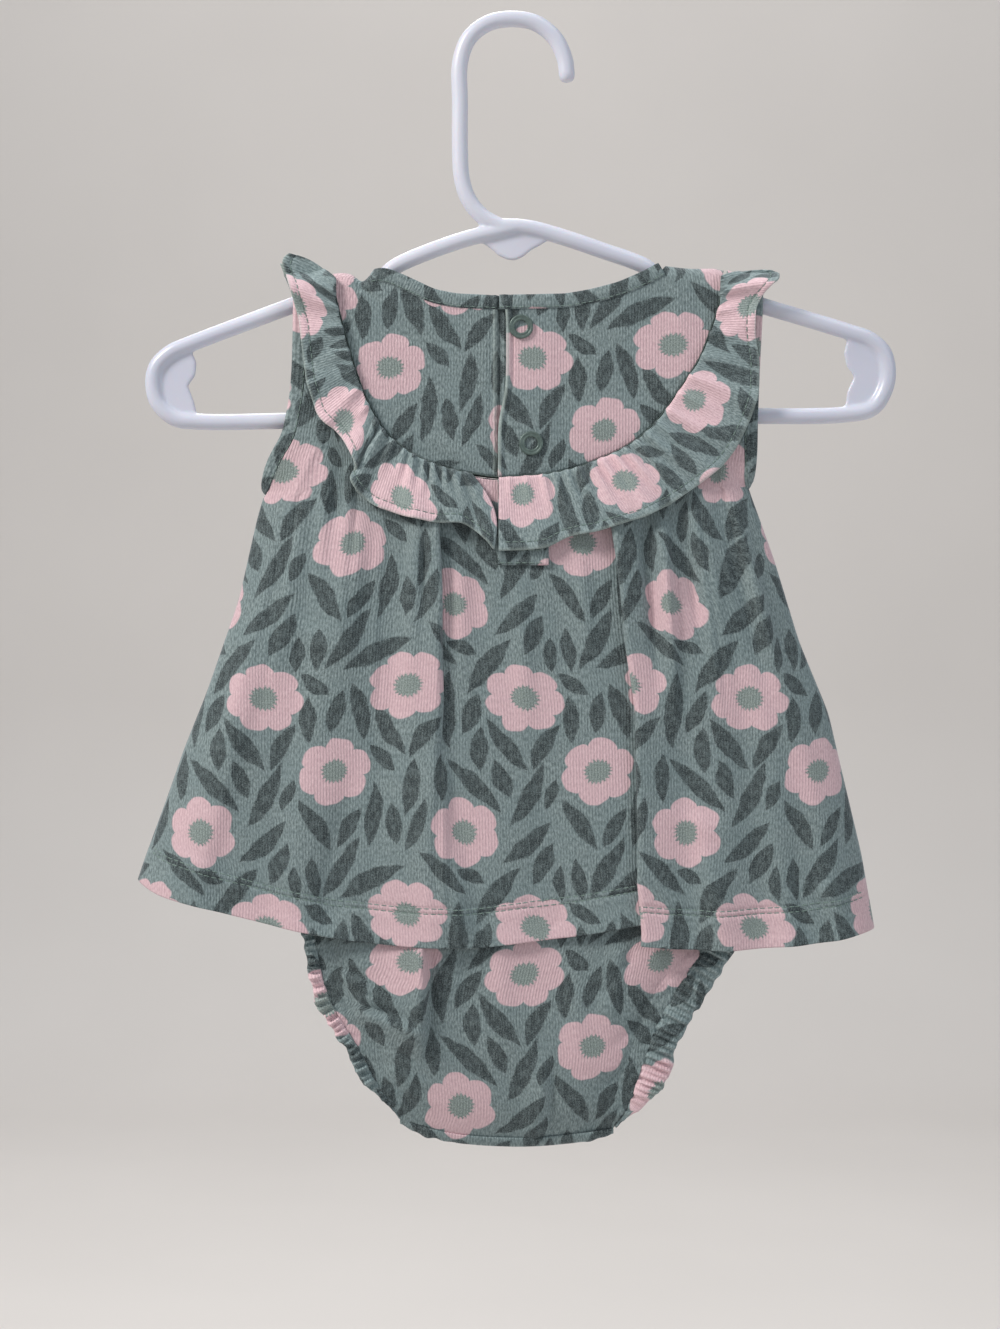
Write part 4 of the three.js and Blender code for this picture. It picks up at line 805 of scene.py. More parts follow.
# x, z at one end, x, z at the other, depth, width, where it is deepest
BACK_SKIRT_CREASES = [
    (-47.5, -186, -52, -300, -1.5, 3.4, 0.3), (-66, -172, -68, -196, -2.0, 2.6, 0.3), (-72, -172, -76, -240, 1.0, 4.0, 0.3),
    (-58, -190, -66, -262, 1.1, 4.5, 0.3), (-38, -196, -40, -262, 0.9, 3.2, 0.2), (-33.5, -196, -34.5, -240, -0.9, 2.0, 0.3),
    (-20, -206, -19, -262, 0.8, 3.0, 0.2), (-13, -208, -10, -250, -0.8, 2.6, 0.3), (3, -214, 6, -286, 0.9, 4.0, 0.3),
    (16, -208, 21, -262, -0.9, 3.0, 0.3), (26, -205, 31, -256, 0.9, 3.0, 0.3), (51, -193, 57, -262, -1.6, 3.0, 0.25),
    (57, -190, 65, -276, 1.3, 3.6, 0.3), (64.5, -186, 76, -260, -1.5, 3.2, 0.25), (72, -182, 88, -290, 1.4, 4.6, 0.35),
    (79, -176, 97, -246, -1.2, 3.4, 0.3), (86, -186, 112, -300, 1.0, 5.0, 0.5), (-84, -186, -104, -268, -1.0, 4.0, 0.4),
    (-88, -200, -118, -300, 0.9, 5.0, 0.5), (-26, -300, -20, -356, 1.6, 5.5, 0.8), (-60, -280, -72, -352, -1.3, 6.0, 0.8),
    (70, -296, 80, -358, 1.6, 6.0, 0.8), (104, -300, 116, -356, -1.2, 6.0, 0.8), (12, -290, 14, -353, -1.1, 6.0, 0.8),
    (-92, -232, -60, -246, 0.5, 5.0, 0.5), (58, -306, 90, -316, 0.5, 5.0, 0.5), (-128, -322, -96, -340, 0.8, 4.0, 0.4),
    (112, -332, 134, -342, 0.8, 4.0, 0.6),
]
FRONT_SKIRT_CREASES = [
    (-50, -186, -60, -300, -1.3, 3.6, 0.3), (-36, -194, -42, -290, 1.0, 4.0, 0.3), (-22, -198, -26, -270, -1.0, 3.0, 0.3),
    (-6, -200, -8, -300, 1.0, 4.0, 0.35), (8, -200, 10, -262, -1.0, 3.0, 0.3), (22, -197, 28, -296, 1.1, 4.0, 0.3),
    (37, -190, 46, -270, -1.2, 3.2, 0.25), (52, -180, 66, -300, 1.1, 4.4, 0.4), (66, -172, 84, -262, -1.1, 3.6, 0.3),
    (-66, -174, -82, -290, 1.0, 4.4, 0.4), (-30, -290, -28, -350, -1.4, 6.0, 0.8), (14, -286, 16, -351, 1.4, 6.0, 0.8),
    (66, -290, 72, -351, -1.4, 6.0, 0.8), (-86, -290, -96, -345, 1.2, 6.0, 0.8),
]
BACK_SKIRT_STEPS = [
    (-26.4, -286, -27, -352, 1.6, 16, 3.0), (59, -196, 63, -268, 1.9, 9, 2.2), (70, -186, 80, -262, 1.7, 8, 2.2),
    (-62, -176, -66, -236, 1.5, 9, 2.0), (-50, -196, -54, -262, 1.1, 8, -2.2), (86, -178, 100, -240, 1.3, 8, 2.4),
    (-80, -182, -92, -250, 1.0, 8, -2.4),
]
FRONT_SKIRT_STEPS = [
    (-60, -176, -70, -260, 1.5, 9, 2.4), (-14, -198, -16, -270, 1.3, 9, 2.4), (16, -198, 20, -266, 1.4, 9, -2.4),
    (58, -176, 72, -256, 1.6, 9, 2.4),
]
HEM_STITCH = (13.2, 15.4)
HEM_TAIL = np.array([21.0, 19.4, 18.0, 16.8, 16.1, 15.4, 14.8, 14.3, 13.8, 13.2, 12.6, 11.8, 10.6, 9.0, 7.4, 5.8, 4.2, 2.7, 1.4, 0.5, 0.0])


def skirt(side):
    back = side < 0
    seam = SEAM_B if back else SEAM_F
    K = skirt_keys(seam, back)
    n = [int(k[4]) for k in K[:-1]]
    top, hem = hermite([k[0] for k in K], n), hermite([k[1] for k in K], n)
    mid, low = hermite([k[2] for k in K], n), hermite([k[3] for k in K], n)
    fold = np.clip(np.interp(np.arange(len(top)), np.concatenate([[0], np.cumsum(n)]), [k[5] for k in K]), 0, 1)
    if back:
        r = [i for i, k in enumerate(K) if k[1] == 57.2][0]
        split = sum(n[:r])
        hem_z = np.where(np.arange(len(top)) < split, at(T_HEM_BACK, hem), at(T_HEM_RIGHT, hem))
        under = np.clip(1 - np.abs(np.arange(len(top)) - split) / 5, 0, 1)
        hem_z = hem_z + under * (at(T_HEM_BACK, hem) - hem_z) * 0.3
    else:
        hem_z = at(T_HEM_FRONT, hem)
    rows = (np.array([0, 0.35, 0.8, 1.4, 2.2, 3.2, 4.4, 6.0, 8.0, 10.0]), np.linspace(0, 1, 112)[1:-1], HEM_TAIL)
    table = BACK_SKIRT_CREASES if back else FRONT_SKIRT_CREASES

    def lift(x, z, v):
        g = lerp(mid[:, None], low[:, None], clamp((v - 0.25) / 0.75, 0, 1))
        # the pleats are flat where they are sewn in, and stand off below
        grow = np.maximum(soft((v - 0.1) / 0.3), fold[:, None] * soft((v - 0.015) / 0.1))
        y = g * grow
        c = 2.1 * creases(x, z, table) + 1.2 * steps(x, z, BACK_SKIRT_STEPS if back else FRONT_SKIRT_STEPS)
        # creases die out at the side seams and on the strap
        e = np.minimum(from_seam(x, z, EDGE["skirt"][0], UNDER["skirt"][0]), from_seam(x, z, EDGE["skirt"][1], UNDER["skirt"][1]))
        y = y + c * soft(e / 14)
        # the hem rolls out a little, and its two rows of stitching press in
        d = (1 - v) * (top_z[:, None] - hem_z[:, None])
        y = y + 0.7 * soft((9 - d) / 9) * soft(e / 6)
        for h in HEM_STITCH:
            y = y - 0.42 * np.exp(-(((d - h) / 0.6) ** 2))
        y = y + 0.22 * np.exp(-(((d - 14.3) / 0.6) ** 2)) + 0.25 * soft((13.5 - d) / 1.5)
        return np.maximum(y, -0.4)

    top_z = top_points(seam, top, SKIRT_OUT, "skirt", 1.4)[1]
    P = panel(seam, top, hem, hem_z, rows, SKIRT_OUT, side, "skirt", 1.4, lift)
    mid_col = int(np.argmin(np.abs(P[:, 60, 0] - 8)))
    U = across(P, mid_col)
    name = "back_skirt_cloth" if back else "front_skirt_cloth"
    off = (SHIFT["skirt"] if back else (31.0, 44.0))
    ob, nrm = wall(name, P, U + off[0], P[..., 2] + off[1], side, keep=side)
    lines = [iso(P, nrm, h, side, 0.52) for h in HEM_STITCH]
    st = stitches(name.replace("cloth", "hem_stitches"), [l[2:-2] for l in lines], THREAD)
    declare("skirt_back" if back else "skirt_front")
    return P


# where the repeat starts on each kind of piece
SHIFT = {"skirt": (30.0 + 94.4 + 6.0, 60.0 + 261.7), "body": (30.0 - 5.8, 60.0 + 367.8), "yoke": (30.0 + 48.4, 60.0 + 134.5)}

BACK_BODY_CREASES = [
    (-57, -381, -36, -385, -1.4, 2.0, 0.4), (-47, -397, -34, -402, -1.3, 1.8, 0.4), (-34.5, -350, -35, -394, 1.6, 2.6, 0.4),
    (-31, -352, -31.5, -394, -1.3, 1.8, 0.5), (13, -403, 10, -434, 1.1, 2.2, 0.4), (16.5, -404, 14, -433, -0.9, 1.8, 0.4),
    (46, -360, 30, -382, -0.9, 3.0, 0.3), (52, -384, 36, -398, -0.9, 2.6, 0.3), (44, -404, 30, -415, -0.9, 2.2, 0.3),
    (-66, -366, -50, -372, -1.0, 2.4, 0.3), (-50, -405, -30, -420, 0.9, 2.6, 0.4), (-6, -345, -2, -400, 0.7, 5.0, 0.5),
    (-20, -350, -16, -410, -0.6, 4.0, 0.5), (24, -350, 26, -410, 0.7, 5.0, 0.5), (38, -350, 50, -368, -0.8, 3.0, 0.3),
]
BACK_BODY_STEPS = [
    (-34.2, -353, -34.8, -398, 4.2, 18, 1.3), (-59, -381.5, -35, -389.5, 3.2, 8, 1.2), (11, -402, 8, -434, 1.5, 7, 4.0),
    (-48, -404, -33, -409.5, 1.3, 5, 1.2), (44, -352, 38, -384, 1.3, 8, 3.0), (-66, -366, -56, -372, 1.0, 6, 1.3),
]
FRONT_BODY_CREASES = [
    (-57, -376, -38, -384, -1.2, 2.2, 0.4), (-40, -352, -36, -402, 1.1, 3.0, 0.4), (20, -350, 18, -412, 0.9, 4.0, 0.4),
    (46, -366, 32, -384, -1.0, 2.8, 0.3), (50, -388, 34, -400, -1.0, 2.4, 0.3), (-14, -352, -10, -412, -0.8, 4.0, 0.5),
]


def edge_walk(edge, z_hi, z_lo):
    """Length along a leg edge from its top, by height."""
    z = np.linspace(z_hi, z_lo, 400)
    x = at(edge, z)
    s = np.concatenate([[0], np.cumsum(np.hypot(np.diff(x), np.diff(z)))])
    return z[::-1], s[::-1]


def gather_stations(length, seed, lo, hi):
    rng = np.random.default_rng(seed)
    s, out = 1.2, []
    while s < length - 1:
        out.append((s, rng.uniform(0.65, 1.15), rng.uniform(0.6, 1.5)))
        s += rng.uniform(lo, hi)
    return out


LEG = {k: edge_walk(EDGE["body"][k], -318.0, -427.0) for k in (0, 1)}
GATHERS = {0: gather_stations(LEG[0][1].max(), 5, 2.6, 4.2), 1: gather_stations(LEG[1][1].max(), 9, 2.3, 3.7)}


def leg_gathers(x, z, k, reach):
    s = np.interp(z, LEG[k][0], LEG[k][1])
    slope = (at(EDGE["body"][k], z + 1) - at(EDGE["body"][k], z - 1)) / 2
    d = np.abs(x - at(EDGE["body"][k], z)) / np.hypot(1, slope)
    s = s + d * 0.25 * (1 if k else -1)
    y = np.zeros_like(x)
    for c, amp, long_ in GATHERS[k]:
        y += amp * np.exp(-(((s - c) / (0.95 + 0.05 * d)) ** 2)) * np.exp(-d / (reach * long_))
    return (y - 0.45 * np.exp(-d / reach)) * (z < -322) * soft((-318 - z) / 10)


def body(side):
    back = side < 0
    seam = SEAM_B if back else SEAM_F
    f = seam.where_x
    K = [(-1, -43.3, 6), (-0.4, -40.4, 5), (0, -37.6, 3), (0.024, -34.4, 8), (f(-61.5), -29, 8), (f(-52), -22, 9),
         (f(-38), -14, 13), (f(-16), -5, 13), (f(6), 4, 13), (f(28), 13, 12), (f(48), 21, 9), (f(62), 27, 8),
         (f(74), 31.4, 5), (0.976, 33.8, 3), (1, 36.2, 5), (1.4, 37.6, 6), (2, 39, 1)]
    n = [k[2] for k in K[:-1]]
    top, hem = hermite([k[0] for k in K], n), hermite([k[1] for k in K], n)
    hem_z = at(T_CROTCH, hem) + 0.4
    rows = (np.array([0, 0.7, 2.2, 4.6, 10.0]), np.concatenate([np.linspace(0, 0.5, 32)[1:], np.linspace(0.5, 1, 84)[1:-1]]),
            np.array([1.6, 0.9, 0.4, 0.0]))
    table = BACK_BODY_CREASES if back else FRONT_BODY_CREASES

    def lift(x, z, v):
        low = soft((-300 - z) / 30)
        y = (1.3 * creases(x, z, table) + steps(x, z, BACK_BODY_STEPS if back else [])) * low
        y = y + 1.7 * leg_gathers(x, z, 0, 6) + 2.0 * leg_gathers(x, z, 1, 8)
        e = np.minimum(x - at(EDGE["body"][0], z), at(EDGE["body"][1], z) - x)
        s = stand(x, z, BODY_OUT, "body")
        return np.maximum(y, 0.3 - s) * soft(np.maximum(e, 0) / 1.5 + 0.4)

    P = panel(seam, top, hem, hem_z, rows, BODY_OUT, side, "body", 2.0, lift)
    U = across(P, P.shape[0] // 2)
    off = SHIFT["body"] if back else (70.0, 21.0)
    ob, _ = wall("back_body_cloth" if back else "front_body_cloth", P, U + off[0], P[..., 2] + off[1], side, keep=side)
    declare("body_back" if back else "body_front")
    return P


# ---- yokes ----
BACK_YOKE_CREASES = [
    (-60, -101.5, -50, -109, -1.0, 1.6, 0.2), (-54, -103, -30, -122, 0.5, 4.0, 0.3), (-50, -128, -20, -150, -0.4, 6.0, 0.5),
    (62, -98, 70, -150, 0.4, 4.0, 0.3), (36, -118, 52, -150, -0.35, 5.0, 0.5), (10, -150, 40, -160, 0.35, 5.0, 0.5),
    (-30, -160, -12, -172, 0.4, 3.0, 0.5), (70, -100, 76, -126, -0.5, 3.0, 0.3), (48, -104, 40, -126, 0.4, 3.5, 0.3),
]


def placket_edge(z):
    """x of the upper half's folded edge: it bows away from the lower half between neck and chest."""
    return -5.4 + 3.3 * np.exp(-(((z + 126) / 24) ** 4))


def yoke(name, node, neck, seam, fn, fs, side, off, crease_rows, edge_fix=None, lap=None):
    nv = 56
    v = np.linspace(0, 1, nv)[None, :]
    Nx, Nz = (a[:, None] for a in neck(fn))
    Sx, Sz = (a[:, None] for a in seam(fs))
    x = lerp(Nx, Sx, v)
    z = lerp(Nz, Sz, v)
    if edge_fix is not None:
        w = np.exp(-np.abs(fn - fn[0]) / 0.05)[:, None]
        x = x + (placket_edge(z) - PLACKET_LEFT) * w * edge_fix
    end = np.maximum(soft((0.05 - fs) / 0.05), soft((fs - 0.95) / 0.05))[:, None]
    top = top_of(x, YOKE_OUT) - 0.02
    z = np.minimum(lerp(z, top, end * end), top)
    y = stand(x, z, YOKE_OUT, "yoke") + creases(x, z, crease_rows) * soft((top - z) / 6)
    if lap is not None:
        y = y + lap(x, z)
    # the folded edges at the opening are painted pale: a painted highlight along each fold, mixed in with the
    # wrong-side colour
    edge = None
    if lap is not None:
        edge = 0.8 * np.exp(-(((x - placket_edge(z) - 0.35) / 0.5) ** 2)) if edge_fix else 0.65 * np.exp(-(((x + 6.7) / 0.5) ** 2))
    P = np.stack([x, side * y, z], 2)
    U = across(P)
    U = U - U[0][None, :] + P[0, :, 0][None, :] if P[0, 0, 0] < P[-1, 0, 0] else -U + P[0, :, 0][None, :]
    ob, nrm = wall(name, P, U + off[0], P[..., 2] + off[1], side, keep=side, t=0.85, painted_edge_highlight=edge)
    declare(node)
    return P, nrm


PLACKET_LEFT, LAP_TO = -5.6, 11.0


def lap_right(x, z):
    e = x - placket_edge(z)
    return 0.72 * clamp((20 - x) / 6, 0, 1) + 0.8 * np.exp(-(((e - 0.5) / 1.1) ** 2)) - 0.35 * np.exp(-(((e - 2.6) / 0.5) ** 2)) \
        - 0.18 * np.exp(-(((x - 13.2) / 0.6) ** 2))


def lap_left(x, z):
    return -0.72 * clamp((x + 10) / 4, 0, 1) + 0.75 * np.exp(-(((x + 6.6) / 0.55) ** 2)) - 0.75 * np.exp(-(((x + 4.9) / 0.8) ** 2))


def yokes():
    u = np.linspace(0, 1, 96)
    u = 0.3 * u + 0.7 * u**1.9
    nl, sl = NECK_B.where_x(LAP_TO), SEAM_B.where_x(LAP_TO)
    nr, sr = NECK_B.where_x(PLACKET_LEFT), SEAM_B.where_x(PLACKET_LEFT)
    YL = yoke("back_yoke_left_cloth", "back_yoke_left", NECK_B, SEAM_B, lerp(nl, 0, u), lerp(sl, 0, u), -1, (2.1, 77.4),
              BACK_YOKE_CREASES, lap=lap_left)
    YR = yoke("back_yoke_right_cloth", "back_yoke_right", NECK_B, SEAM_B, lerp(nr, 1, u), lerp(sr, 1, u), -1, (21.6, 189.9),
              BACK_YOKE_CREASES, edge_fix=1.0, lap=lap_right)
    w = np.linspace(0, 1, 150)
    yoke("front_yoke_cloth", "front_yoke", NECK_F, SEAM_F, w, w, 1, (14.0, 66.0),
         [(-40, -138, -20, -168, 0.5, 5.0, 0.5), (30, -140, 50, -150, -0.4, 5.0, 0.5)])
    return YL, YR


# ---- bindings and bands: a folded strip, its section a soft flattened ring ----
def band(name, C, D, width, thick, off, node, flat, closed, puff=None, ns=14, turn=False, material=None):
    C, D = np.asarray(C, float), np.asarray(D, float)
    if closed:
        T = np.roll(C, -1, 0) - np.roll(C, 1, 0)
    else:
        T = np.gradient(C, axis=0)
    T /= np.linalg.norm(T, axis=1, keepdims=True) + 1e-9
    N = np.cross(T, D)
    N /= np.linalg.norm(N, axis=1, keepdims=True) + 1e-9
    a = np.arange(ns) * 2 * math.pi / ns
    ca, sa = np.cos(a), np.sin(a)
    ex = np.sign(ca) * np.abs(ca) ** 0.75
    ey = np.sign(sa) * np.abs(sa) ** 0.7
    w = np.broadcast_to(np.asarray(width, float), (len(C),))
    k = np.ones((len(C), ns)) if puff is None else puff(np.arange(len(C)), a)
    P = C[:, None] + D[:, None] * (w[:, None] * (0.5 + 0.5 * ex[None, :]))[..., None] + N[:, None] * (thick / 2 * ey[None, :] * k)[..., None]
    n = len(C)
    s = np.concatenate([[0], np.cumsum(np.linalg.norm(np.diff(C, axis=0), axis=1))])
    U = np.repeat(s[:, None], ns, 1)
    V = np.repeat((w[0] * 0.5 * (ex + 1) + np.where(sa < 0, -thick, 0))[None, :], n, 0)
    flatc = np.stack([(V if turn else U).ravel() + off[0], (U if turn else V).ravel() + off[1], np.zeros(n * ns)], 1)
    F = []
    last = n if closed else n - 1
    i = np.arange(last)
    for q in range(ns):
        r = (q + 1) % ns
        j = (i + 1) % n
        F.append(np.stack([i * ns + q, j * ns + q, j * ns + r, i * ns + r], 1))
    F = np.concatenate(F)
    verts = P.reshape(-1, 3)
    faces = F.tolist()
    if not closed:
        faces.append(list(range(ns)))
        faces.append(list(range((n - 1) * ns, n * ns))[::-1])
    v = np.einsum("ij,ij->i", verts[F[:, 0]], np.cross(verts[F[:, 1]], verts[F[:, 2]])).sum()
    v += np.einsum("ij,ij->i", verts[F[:, 0]], np.cross(verts[F[:, 2]], verts[F[:, 3]])).sum()
    if v < 0:
        faces = [f[::-1] for f in faces]
    me = bpy.data.meshes.new(name)
    me.from_pydata((verts * MM).tolist(), [], faces)
    me.polygons.foreach_set("use_smooth", np.full(len(me.polygons), True))
    at_ = me.attributes.new("flat", "FLOAT_VECTOR", "POINT")
    at_.data.foreach_set("vector", np.ascontiguousarray(flatc, np.float32).ravel())
    me.materials.append(material or COTTON)
    me.update()
    ob = bpy.data.objects.new(name, me)
    bpy.context.scene.collection.objects.link(ob)
    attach(ob, "root")
    declare(node)
    return ob, P, N


def ripple(seed, n_per, amp):
    """Small uneven puffs along a stretched binding."""
    rng = np.random.default_rng(seed)

    def f(i, a):
        out = np.zeros(len(i))
        c = 0.0
        while c < len(i):
            wd = n_per * rng.uniform(0.3, 0.5)
            out += rng.uniform(0.4, 1.0) * np.exp(-(((i - c) / wd) ** 2))
            c += n_per * rng.uniform(0.7, 1.3)
        return 1 + amp * (out - 0.5)[:, None] * np.ones(len(a))[None, :]

    return f


def neck_binding(name, node, neck, fr, side, lap, off, flat, edge=False):
    x, z = neck(fr)
    tx, tz = neck.tangent(fr, 0.02)
    nx, nz = -tz, tx
    d0, d1 = -0.9, 4.8
    tips = []
    for d in (d0, d1):
        px, pz = x + nx * d, z + nz * d
        pz = np.minimum(pz, top_of(px, YOKE_OUT) + 0.25)
        y = side * (stand(px, np.minimum(pz, top_of(px, YOKE_OUT) - 0.02), YOKE_OUT, "yoke") + (1.2 * lap(px, pz) if lap else 0) + 0.15)
        tips.append(np.stack([px, y, pz], 1))
    D = tips[1] - tips[0]
    w = np.linalg.norm(D, axis=1)
    D /= w[:, None] + 1e-9
    ob, P, N = band(name, tips[0], D, np.maximum(w, 2.0), 1.9, off, node, flat, False, ripple(3 if edge else 4, 9, 0.16))
    q = tips[0] + D * 0.75
    q[:, 1] += side * 0.98
    return q


def arm_binding(k, node, name, off):
    edge, under, sign = EDGE["skirt"][k], UNDER["skirt"][k], (-1 if k == 0 else 1)
    out = (BODY_OUT + SKIRT_OUT) / 2
    zs = np.arange(under[1] + 1.2, -112, 0.8)
    top_x = float(at(edge, -104))
    wt = float(top_of(top_x, out))
    pts = [(float(at(edge, z)), float(stand(at(edge, z), z, out, "skirt")), z) for z in zs]
    for a in np.linspace(0, 0.96, 12):
        pts.append((top_x, (WRAP_R + out) * math.cos(a * math.pi / 2), wt - WRAP_R - out + (WRAP_R + out) * math.sin(a * math.pi / 2)))
    half = np.array(pts)
    half[:, 0] = gauss(half[:, 0], 2)
    half[:, 1] = gauss(half[:, 1], 1.5)
    half[:, 2] = gauss(half[:, 2], 1.5)
    low = np.array([[under[0], 0.0, under[1] + 0.2]])
    crown = np.array([[top_x, 0.0, wt]])
    back = half * [1, -1, 1]
    C = np.concatenate([low, back, crown, half[::-1]])
    T = np.roll(C, -1, 0) - np.roll(C, 1, 0)
    T /= np.linalg.norm(T, axis=1, keepdims=True) + 1e-9
    D = np.array([[sign, 0.0, 0.0]]) - T * (T[:, :1] * sign)
    D /= np.linalg.norm(D, axis=1, keepdims=True) + 1e-9
    near = np.exp(-np.linalg.norm(C - low, axis=1) / 7)
    D = D + np.array([[0.0, 0.0, 1.0]]) * (1.5 * near)[:, None]
    D = D - T * (D * T).sum(1, keepdims=True) * 0.6
    D /= np.linalg.norm(D, axis=1, keepdims=True)
    C = C - D * 1.5
    ob, P, N = band(name, C, D, 6.2 - 2.4 * near, 2.5, off, node, (2 * len(zs) * 0.8 + 40, 14), True, ripple(11 + k, 7, 0.18), turn=True)
    return C + D * 1.2, N


def leg_band(k, node, name, off):
    edge, sign = EDGE["body"][k], (-1 if k == 0 else 1)
    width = 5.0 if k == 0 else 11.0
    z = np.linspace(-319, -425 if k == 0 else -428, 230)
    x = at(edge, z)
    y = stand(x, z, BODY_OUT, "body")
    y = np.maximum(y, 1.0)
    y[:14] = lerp(0.9, y[14], soft(np.arange(14) / 14))
    y[-14:] = lerp(y[-15], 2.0, soft(np.arange(14) / 14))
    half = np.stack([x, y, z], 1)
    C = np.concatenate([half * [1, -1, 1], half[::-1]])
    T = np.gradient(half[:, [0, 2]], axis=0)
    T /= np.linalg.norm(T, axis=1, keepdims=True)
    d = np.stack([-T[:, 1], np.zeros(len(T)), T[:, 0]], 1)
    d *= np.sign(d[:, :1]) * sign
    D = np.concatenate([d, d[::-1]])
    C = C - D * 0.9
    n = len(half)
    low = np.concatenate([soft((n - 1 - np.arange(n)) / 44), soft(np.arange(n) / 44)])
    s = np.concatenate([[0], np.cumsum(np.linalg.norm(np.diff(C, axis=0), axis=1))])
    rng = np.random.default_rng(21 + k)
    shape = np.zeros(len(C))
    wob = np.zeros(len(C))
    c = 0.0
    while c < s[-1]:
        a, wd = rng.uniform(0.7, 1.15), rng.uniform(0.85, 1.35)
        shape += a * np.exp(-(((s - c) / wd) ** 2))
        wob += rng.uniform(-1.0, 1.0) * np.exp(-(((s - c) / (2 * wd)) ** 2))
        c += rng.uniform(2.2, 3.5)

    def puff(i, a):
        # puffs are full at the free edge and pinched where the band is sewn on
        out = 0.5 + 0.5 * np.cos(a)
        return (0.1 + 1.9 * np.clip(shape, 0, 1.15)[:, None] ** 1.5 * (0.65 + 0.35 * out)[None, :]) * (0.4 + 0.6 * low)[:, None]

    # the cloth of the band is cut about 1.35 times the length that the elastic pulls it to
    # the band's cloth is the copy of the cotton painted lighter, as painted light
    ob, P, N = band(name, C, D, (width + wob * 0.9) * (0.14 + 0.86 * low), 3.8, off, node, (1.35 * s[-1], 2 * width + 3), True, puff, ns=18, turn=True, material=COTTON_PAINTED_LIGHTER)
    return P


def crotch_band():
    x = np.linspace(-43.6, 39.4, 120)
    z0 = at(T_CROTCH, x) + 1.9
    a = np.linspace(0, math.pi, 18)[None, :]
    w = 1 + 0.12 * np.sin(x * 0.9) * np.exp(-((np.abs(x - 2) - 36) / 9) ** 2)
    w = w * (0.55 + 0.45 * soft((np.abs(x + 2.1) - 41.5) / -9))
    P = np.stack([np.repeat(x[:, None], 18, 1), -2.7 * np.cos(a) * w[:, None], (z0 - 0.6)[:, None] - 3.6 * np.sin(a) * w[:, None]], 2)
    n = grid_normals(P)
    U = np.repeat(x[:, None], 18, 1)
    ob, _ = wall("crotch_band_cloth", P, U + SHIFT["body"][0] + 3, P[..., 2] + SHIFT["body"][1], 0, t=SHELL)
    declare("crotch_band")


def placket_box():
    x = np.linspace(-5.4, 14.0, 40)
    sx, sz = SEAM_B(np.array([SEAM_B.where_x(q) for q in x]))
    v = np.linspace(0, 1, 60)[None, :]
    X = np.repeat(x[:, None], 60, 1)
    Z = lerp((sz - 0.9)[:, None], -210.2, v)
    e = np.minimum(np.minimum(X + 5.4, 14.0 - X), Z + 210.2)
    y = stand(X, Z, 3.3, "skirt") + 0.25 * soft(e / 0.8) - 0.22 * np.exp(-(((Z + 204.6) / 0.5) ** 2)) - 0.2 * np.exp(-(((X + 2.6) / 0.5) ** 2)) * (Z > -204)
    P = np.stack([X, -y, Z], 2)
    ob, n = wall("placket_box_cloth", P, X + SHIFT["yoke"][0] + 9, Z + SHIFT["yoke"][1] + 31, -1, t=0.8)
    lines = []
    for pts in (
        [(-2.4, -204.4), (13.2, -204.4)],
        [(-2.4, -204.4), (-2.4, -180.0)],
        [(-4.9, -209.4), (13.4, -209.4)],
    ):
        (x0, z0), (x1, z1) = pts
        t = np.linspace(0, 1, 40)
        px, pz = lerp(x0, x1, t), lerp(z0, z1, t)
        lines.append(np.stack([px, -(stand(px, pz, 3.3, "skirt") + 0.25 + 0.52), pz], 1))
    st = stitches("placket_box_stitches", lines, THREAD, radius=0.19)
    declare("placket_box")


